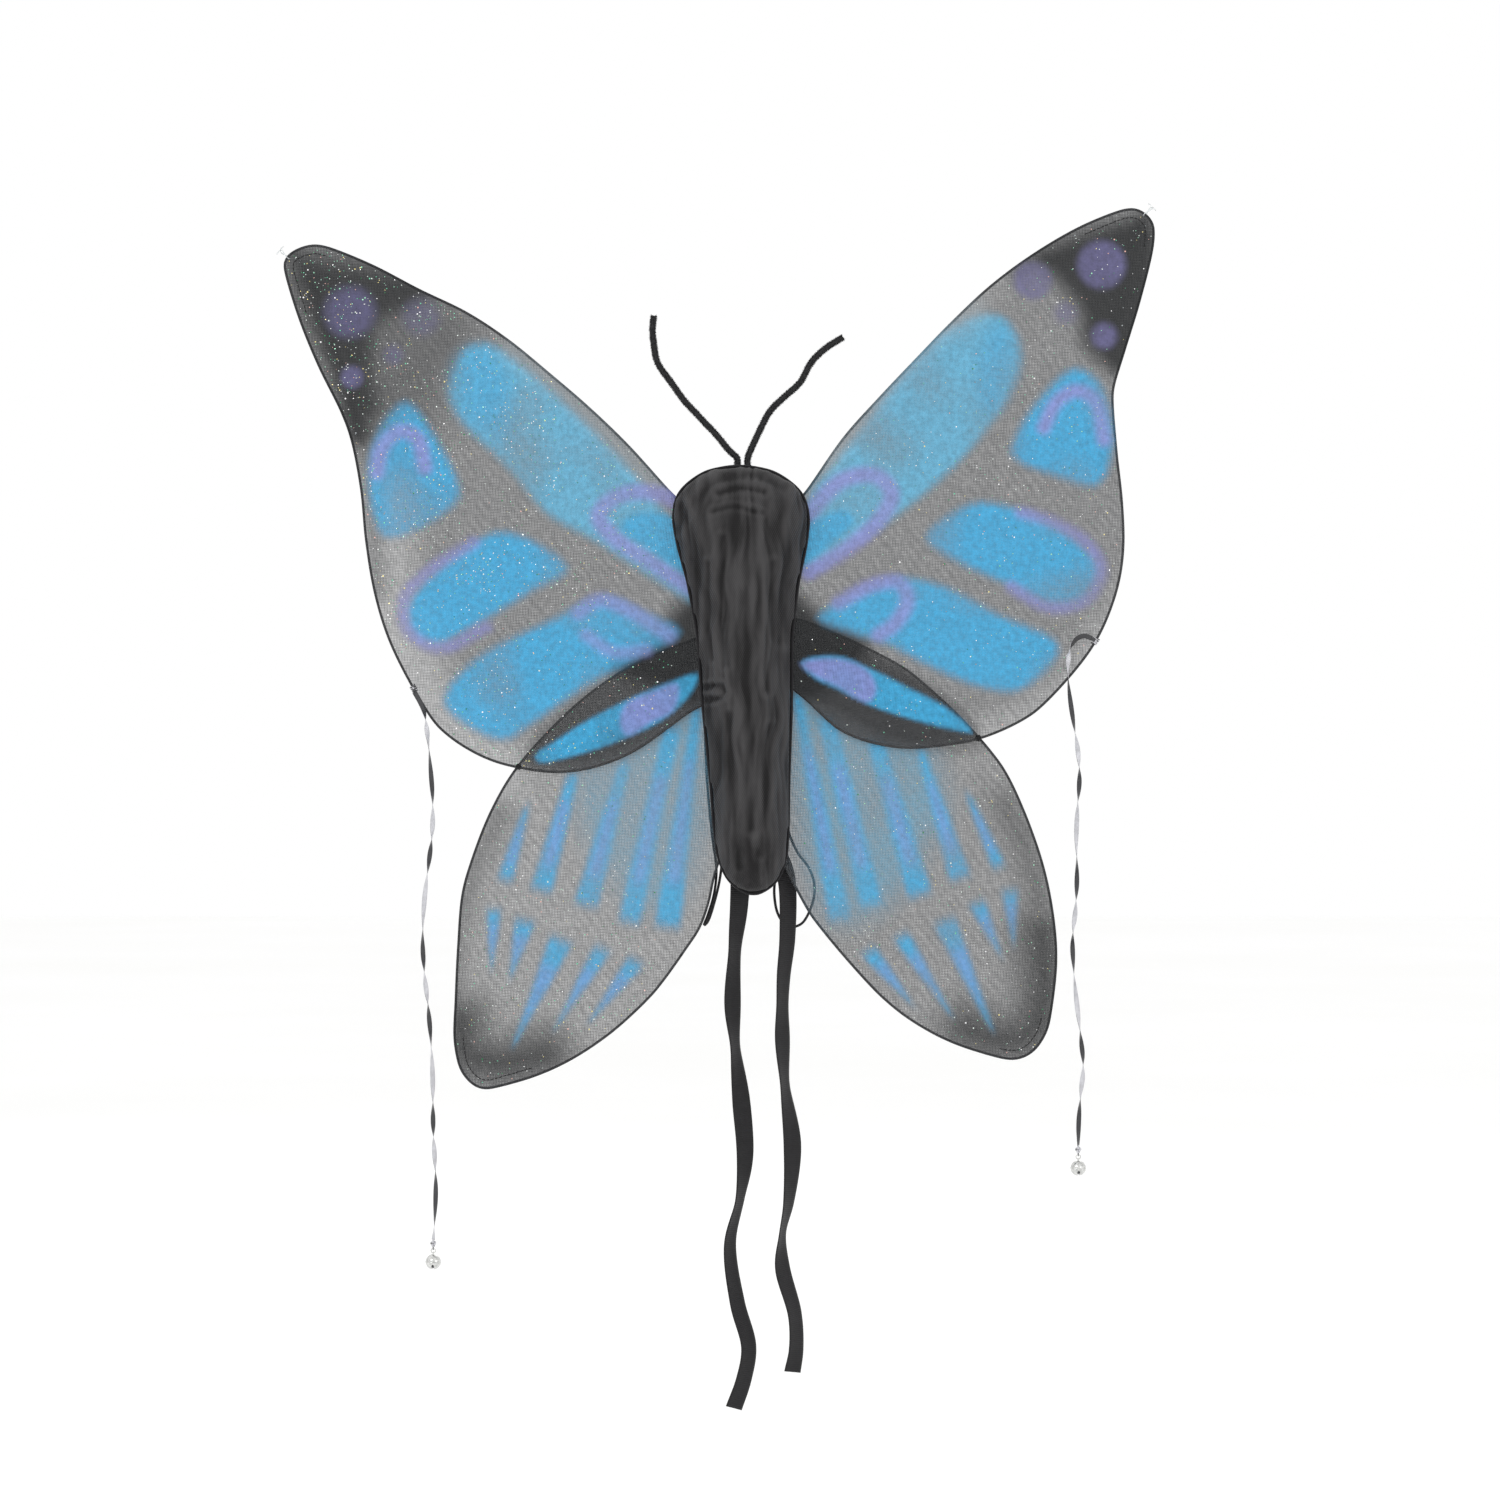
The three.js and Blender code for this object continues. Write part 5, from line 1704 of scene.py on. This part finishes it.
@dataclass
class BellCord:
    """A twisting satin ribbon knotted to the wing's wire, with a jingle bell at its end."""

    side: Side
    knot: tuple[float, float]
    route: tuple[tuple[float, float], ...]
    wire_depth: float = -13.5
    depth: float = -19.1
    width: float = 3.8
    thickness: float = 0.5
    half_turn: float = 34.0      # length of ribbon to each half turn
    ring_wire: float = 0.45      # half its thickness
    ring_radius: float = 1.75    # middle of the ring to the middle of its wire
    shell: float = 0.6           # thickness of the bell's metal
    slot: float = 1.3            # width of the slots
    slot_end: float = 1.15       # radius of the hole at each slot's end
    seam: float = 0.32           # radius of the rolled seam

    def assemble(self, wardrobe: Wardrobe) -> None:
        """Makes the knot on the wire, the ribbon, its end knot and the bell."""
        name = self.side.value
        kx, kz = self.knot
        points = [(kx + x, self.depth, kz + z) for x, z in self.route]
        path = smooth(np.array(points, float), 2.0)
        along = np.arange(len(path)) * length_of(path) / (len(path) - 1)
        turns = np.pi * along / self.half_turn + 0.6 * np.sin(along / 19.0)
        turns *= ease(along, 4.0, 40.0)
        ribbon = sweep(f"{name}_bell_ribbon", path, flat(self.width, self.thickness, 4, 0.15), turns)
        finish_piece(ribbon, wardrobe.cord, f"{name}_bell_cord", (f"{name}_bell_cord",))
        knot = finish_piece(self._end_knot(path[-1]), wardrobe.cord, f"{name}_bell_cord",
            (f"{name}_bell_knot",))
        bell = finish_piece(self._bell(), wardrobe.bell, f"{name}_bell",
            (f"{name}_bell", f"{name}_bell_ring"))
        dress(f"{name}_bell_pellet", wardrobe.steel)
        finish_piece(self._wire_knot(), wardrobe.cord, self.side.wings,
            (f"{name}_cord_knot",))

    def _wire_knot(self) -> bpy.types.Object:
        """Winds the ribbon's end around the wire and crosses it in front."""
        wing = centreline(f"{self.side.value}_upper_wire")
        at = np.array([self.knot[0], self.wire_depth, self.knot[1]])
        nearest = int(np.argmin(np.linalg.norm(wing - at, axis=1)))
        along = wing[min(nearest + 1, len(wing) - 1)] - wing[max(nearest - 1, 0)]
        along /= np.linalg.norm(along)
        across = np.cross(along, [0.0, 1.0, 0.0])
        t = np.linspace(0, 1, 80)
        angle = t * 2 * math.pi * 3.5
        line = at + along * ((t - 0.5) * 5.4)[:, None] + across * (2.1 * np.cos(angle))[:, None]
        line = line + np.array([0.0, 1.0, 0.0]) * (2.1 * np.sin(angle))[:, None]
        turns = sweep("wire_turns", line, circle(0.62, 8))
        cross = np.array([
            at + across * 2.0 + along * 2.0, at - [0, 2.4, 0] + along * 0.8, at - [0, 2.5, 0] - along * 0.6,
            at - across * 2.0 - along * 2.2])
        lap = sweep("wire_lap", smooth(cross, 0.6), circle(0.55, 8))
        tail_end = np.array([self.knot[0] + self.route[0][0], self.depth + 0.3,
            self.knot[1] + self.route[0][1]])
        tail = sweep("wire_tail",
            smooth(np.array([at - [0, 2.0, 0], (at + tail_end) / 2 - [0, 1.2, 0], tail_end]), 0.6),
            flat(2.8, 0.5, 4))
        return join(f"{self.side.value}_wire_knot", [turns, lap, tail])

    def _end_knot(self, end: Points) -> bpy.types.Object:
        """Ties a small overhand knot under the ribbon's end."""
        t = np.linspace(0, 2 * math.pi, 72, endpoint=False)
        x = (np.sin(t) + 2 * np.sin(2 * t)) * 0.62
        z = (np.cos(t) - 2 * np.cos(2 * t)) * 0.72
        y = -np.sin(3 * t) * 0.95
        middle = end + np.array([0, 0, -3.3])
        turns = sweep("knot_turns", middle + np.column_stack([x, y, z]), circle(0.8, 8), closed=True)
        # the ribbon is gathered where it goes into the knot, and comes out of it as an eye through the ring
        gathered = np.array([end + [0, 0, 0.8], end, end - [0, 0, 1.6], middle])
        neck = sweep("knot_neck", gathered, circle(0.75, 8))
        low, high = (np.array(corner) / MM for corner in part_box(f"{self.side.value}_bell_ring"))
        ring_top = np.array([(low[0] + high[0]) / 2, (low[1] + high[1]) / 2, high[2] - self.ring_wire])
        eye = self._eye("knot_eye", ring_top + [0, 0, 0.5], 1.5, 1.0, 0.35)
        return join(f"{self.side.value}_ribbon_knot", [turns, neck, eye])

    @staticmethod
    def _eye(name: str, middle: Points, tall: float, deep: float, radius: float) -> bpy.types.Object:
        """Bends a small closed eye that stands across the bell's ring and holds it.

        Args:
            name: The piece's name.
            middle: Its middle.
            tall: Half its height.
            deep: Half its depth.
            radius: Half its thickness.

        Returns:
            The eye.
        """
        t = np.linspace(0, 2 * math.pi, 28, endpoint=False)
        line = middle + np.column_stack([0 * t, deep * np.cos(t), tall * np.sin(t)])
        return sweep(name, line, circle(radius, 8), closed=True)

    def _bell(self) -> bpy.types.Object:
        """Models the jingle bell: a slotted shell with a seam round its middle and a wire ring.

        Returns:
            The bell with its ring.
        """
        name = self.side.value
        low, high = (Vector(c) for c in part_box(f"{name}_bell"))
        ring_low, ring_high = (Vector(c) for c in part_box(f"{name}_bell_ring"))
        radius = (high.x - low.x) / 2
        middle = Vector(((low.x + high.x) / 2, (low.y + high.y) / 2, high.z - radius))
        only()
        bpy.ops.mesh.primitive_uv_sphere_add(
            segments=40, ring_count=20, radius=radius * 0.97, location=middle)
        shell = bpy.context.object
        modify(shell, "SOLIDIFY", thickness=self.shell * MM, offset=-1)
        for turn in (0, 90):
            only()
            bpy.ops.mesh.primitive_cube_add(
                size=1, location=middle - Vector((0, 0, radius)), rotation=(0, 0, math.radians(turn)),
                scale=(radius * 1.5, self.slot * MM, radius * 1.2))
            slot = bpy.context.object
            self._cut(shell, slot)
            for end in (-1, 1):
                only()
                reach = end * radius * 0.75
                place = middle + (Vector((reach, 0, 0)) if turn == 0 else Vector((0, reach, 0)))
                bpy.ops.mesh.primitive_cylinder_add(
                    vertices=16, radius=self.slot_end * MM, depth=radius * 1.1,
                    location=place - Vector((0, 0, radius * 0.62)))
                self._cut(shell, bpy.context.object)
        only()
        bpy.ops.mesh.primitive_torus_add(
            location=middle, major_radius=radius * 0.965, minor_radius=self.seam * MM, major_segments=40,
            minor_segments=8)
        seam = bpy.context.object
        only()
        ring_middle = (ring_low + ring_high) / 2
        bpy.ops.mesh.primitive_torus_add(
            location=ring_middle, rotation=(math.pi / 2, 0, 0), major_radius=self.ring_radius * MM,
            minor_radius=self.ring_wire * MM, major_segments=28, minor_segments=10)
        ring = bpy.context.object
        ring_bottom = np.array([ring_middle.x, ring_middle.y, ring_low.z]) / MM + [0, 0, self.ring_wire]
        eyelet = self._eye("bell_eyelet", ring_bottom - [0, 0, 0.21], 1.15, 0.85, 0.3)
        return settle(join(f"{name}_jingle_bell", [shell, seam, ring, eyelet]), f"{name}_jingle_bell", 35)

    @staticmethod
    def _cut(shell: bpy.types.Object, tool: bpy.types.Object) -> None:
        """Cuts one shape out of the shell and removes it."""
        modify(shell, "BOOLEAN", object=tool, operation="DIFFERENCE", solver="EXACT")
        bpy.data.objects.remove(tool, do_unlink=True)


# ---------------------------------------------------------------- tacks and hanging loops


@dataclass
class Tack:
    """Black thread wound around the two wires of a side where they cross."""

    side: Side
    turns: int = 9
    thread: float = 0.42
    wide: float = 2.1
    length: float = 3.4

    def assemble(self, wardrobe: Wardrobe) -> None:
        """Winds the thread."""
        low, high = (np.array(c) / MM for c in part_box(f"{self.side.value}_tack"))
        middle, tall = (low + high) / 2, (high[1] - low[1]) / 2
        t = np.linspace(0, 1, self.turns * 16 + 1)
        strands = []
        for slant in (-0.5, 0.6):
            angle = 2 * math.pi * self.turns / 2 * t
            across = np.array([math.cos(slant), 0, math.sin(slant)])
            along = np.array([-math.sin(slant), 0, math.cos(slant)])
            line = middle + across * (self.wide * np.sin(angle))[:, None]
            line = line + along * ((t - 0.5) * self.length)[:, None]
            line[:, 1] += (tall - 0.5) * np.cos(angle)
            strands.append(sweep("strand", line, circle(self.thread, 6)))
        wound = join(f"{self.side.value}_tack_thread", strands)
        finish_piece(wound, wardrobe.thread, self.side.wings, (f"{self.side.value}_tack",))


@dataclass
class HangLoop:
    """A loop of clear thread at an upper wing's tip, with the tails of its knot."""

    side: Side
    thread: float = 0.4
    radius: float = 5.0
    twist: float = 0.8   # how far the loop leaves its plane

    def assemble(self, wardrobe: Wardrobe) -> None:
        """Makes the loop and its tails."""
        name = f"{self.side.value}_hang_loop"
        low, high = (np.array(c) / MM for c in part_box(name))
        middle = (low + high) / 2
        out = np.array([middle[0], 0, middle[2]])
        out /= np.linalg.norm(out)
        t = np.linspace(0, 2 * math.pi, 48, endpoint=False)
        ring = middle + out * (self.radius * np.cos(t))[:, None]
        ring = ring + np.array([0.0, 1.0, 0.0]) * (self.radius * np.sin(t))[:, None]
        ring = ring + np.cross(out, [0, 1, 0]) * (self.twist * np.sin(2 * t))[:, None]
        parts = [sweep("loop", ring, circle(self.thread, 8), closed=True)]
        side = np.cross(out, [0.0, 1.0, 0.0])
        for lean in (-1, 1):
            foot = middle + out * 4.6
            bend = foot + out * 0.8 + side * lean * 1.8
            tip = foot + out * 0.4 + side * lean * 4.0 - [0, 0.6, 0]
            tail = np.array([foot, bend, tip])
            parts.append(sweep("tail", smooth(tail, 0.7), circle(self.thread, 6)))
        loop = join(f"{name}_thread", parts)
        finish_piece(loop, wardrobe.clear, self.side.wings, (name,))


# ---------------------------------------------------------------- the whole object

LEFT_TIE = Tie(
    Side.LEFT, (-3, -180),
    ((0, -1), (0, -16), (-1, -36), (-4, -66), (-6, -110), (-4, -144), (1, -190), (4, -234), (0, -268),
     (-8, -304), (-2, -352), (7, -387), (3, -413), (-5, -436)),
    ((-180, 0), (-200, 12), (-222, 28), (-249, 54), (-292, 28), (-325, 66), (-374, 18), (-414, 30),
     (-448, 66), (-485, 52), (-534, 40), (-567, 40), (-594, 36), (-616, 30)))
RIGHT_TIE = Tie(
    Side.RIGHT, (23, -153),
    ((0, -1), (0.5, -7), (4, -18), (11, -37), (12, -85), (9, -116), (8, -141), (8, -166), (10, -203),
     (16, -252), (13, -298), (8, -324), (8, -350), (18, -388), (19, -416), (16, -434)),
    ((-153, 0), (-175, 8), (-190, 24), (-237, 34), (-294, 54), (-319, 36), (-356, 66), (-405, 20), (-440, 48),
     (-477, 74), (-503, 36), (-542, 46), (-570, 42), (-587, 30)))
LEFT_LOOP = ArmLoop(Side.LEFT, (
    (-31, 0, 98), (-31, 3, 97.8), (-31, 6.5, 95), (-31.5, 8.6, 88), (-32, 9, 70), (-33, 9, 40), (-33, 9, 0),
    (-32, 9, -40), (-31, 9, -80), (-29, 9, -120), (-25, 9.5, -160), (-22, 10, -184), (-24, 10.5, -204),
    (-29, 10.5, -221), (-32, 8, -229), (-29, 5.5, -226), (-23, 5, -208), (-19, 5, -190), (-17, 5, -170),
    (-17, 4, -160), (-17, 2.5, -156.5), (-17, 0.2, -156)))
RIGHT_LOOP = ArmLoop(Side.RIGHT, (
    (29, 0, 98), (29, 3, 97.8), (29, 6.5, 95), (29.5, 8.6, 88), (30, 9, 70), (31, 9, 40), (31, 9, 0),
    (31, 9, -40), (31, 9, -80), (32, 9, -120), (35, 9, -150), (43, 9, -170), (53, 9, -184), (57, 9, -199),
    (54, 9, -215), (46, 8.5, -228), (36, 8, -230), (28, 7, -221), (24.5, 6.5, -204), (26, 6, -184),
    (27, 6, -160), (27, 5.6, -140), (27, 4.4, -132), (27, 2.6, -128.5), (27, 0.2, -128)))
LEFT_BELL_CORD = BellCord(Side.LEFT, (-263.8, -38.9), (
    (1, -3), (5, -10), (8.5, -18), (11, -34), (13.5, -60), (15.5, -90), (15, -117), (12, -142), (9, -168),
    (7.5, -201), (9, -228), (11.5, -250), (14, -280), (15.5, -309), (16, -353), (18, -395), (17, -426),
    (16, -440)))
RIGHT_BELL_CORD = BellCord(Side.RIGHT, (281.0, -0.95), (
    (-3, 2), (-9, 4), (-15, 2), (-20, -5), (-22, -16), (-22, -32), (-18, -64), (-14.5, -86), (-13, -108),
    (-14.5, -132), (-15.5, -156), (-15, -186), (-16, -212), (-18.5, -238), (-17.5, -264), (-15, -290),
    (-12, -316), (-10, -340), (-12, -362), (-13.6, -384), (-14, -403)))
LEFT_ANTENNA = Antenna(
    Side.LEFT, ((0, 4), (-7, 11), (-16, 22), (-31, 38), (-43, 51), (-53, 65), (-64, 81), (-67, 96),
        (-68, 107), (-67, 118)),
    (-5, -11.6, 141))
RIGHT_ANTENNA = Antenna(
    Side.RIGHT, ((0, 4), (3, 12), (10, 27), (18, 42), (29, 53), (42, 65), (51, 81), (62, 92), (76, 101)),
    (3, -11.6, 141))


def main() -> None:
    """Builds the wings, piece by piece."""
    logging.basicConfig(level=logging.INFO, format="%(message)s")
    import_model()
    studio = Studio()
    studio.set_camera()
    studio.light()
    wardrobe = Wardrobe()
    for strand in (LEFT_BELL_CORD, RIGHT_BELL_CORD, LEFT_TIE, RIGHT_TIE, LEFT_LOOP, RIGHT_LOOP):
        strand.assemble(wardrobe)
    for wing in (
            Wing(Side.LEFT, Row.LOWER, LEFT_LOWER_PAINT, 800, veil=0.84),
            Wing(Side.RIGHT, Row.LOWER, RIGHT_LOWER_PAINT, 550, veil=0.92),
            Wing(Side.LEFT, Row.UPPER, LEFT_UPPER_PAINT, 2600),
            Wing(Side.RIGHT, Row.UPPER, RIGHT_UPPER_PAINT, 900)):
        wing.assemble(wardrobe)
    Pod().assemble(wardrobe)
    for side in Side:
        SewnTab(f"{side.value}_tie_tab").assemble(wardrobe)
        SewnTab(f"{side.value}_loop_upper_tab").assemble(wardrobe)
        SewnTab(f"{side.value}_loop_lower_tab").assemble(wardrobe)
        Tack(side).assemble(wardrobe)
        HangLoop(side).assemble(wardrobe)
    for antenna in (LEFT_ANTENNA, RIGHT_ANTENNA):
        antenna.assemble(wardrobe)
    studio.lay_floor()


if __name__ == "__main__":
    main()
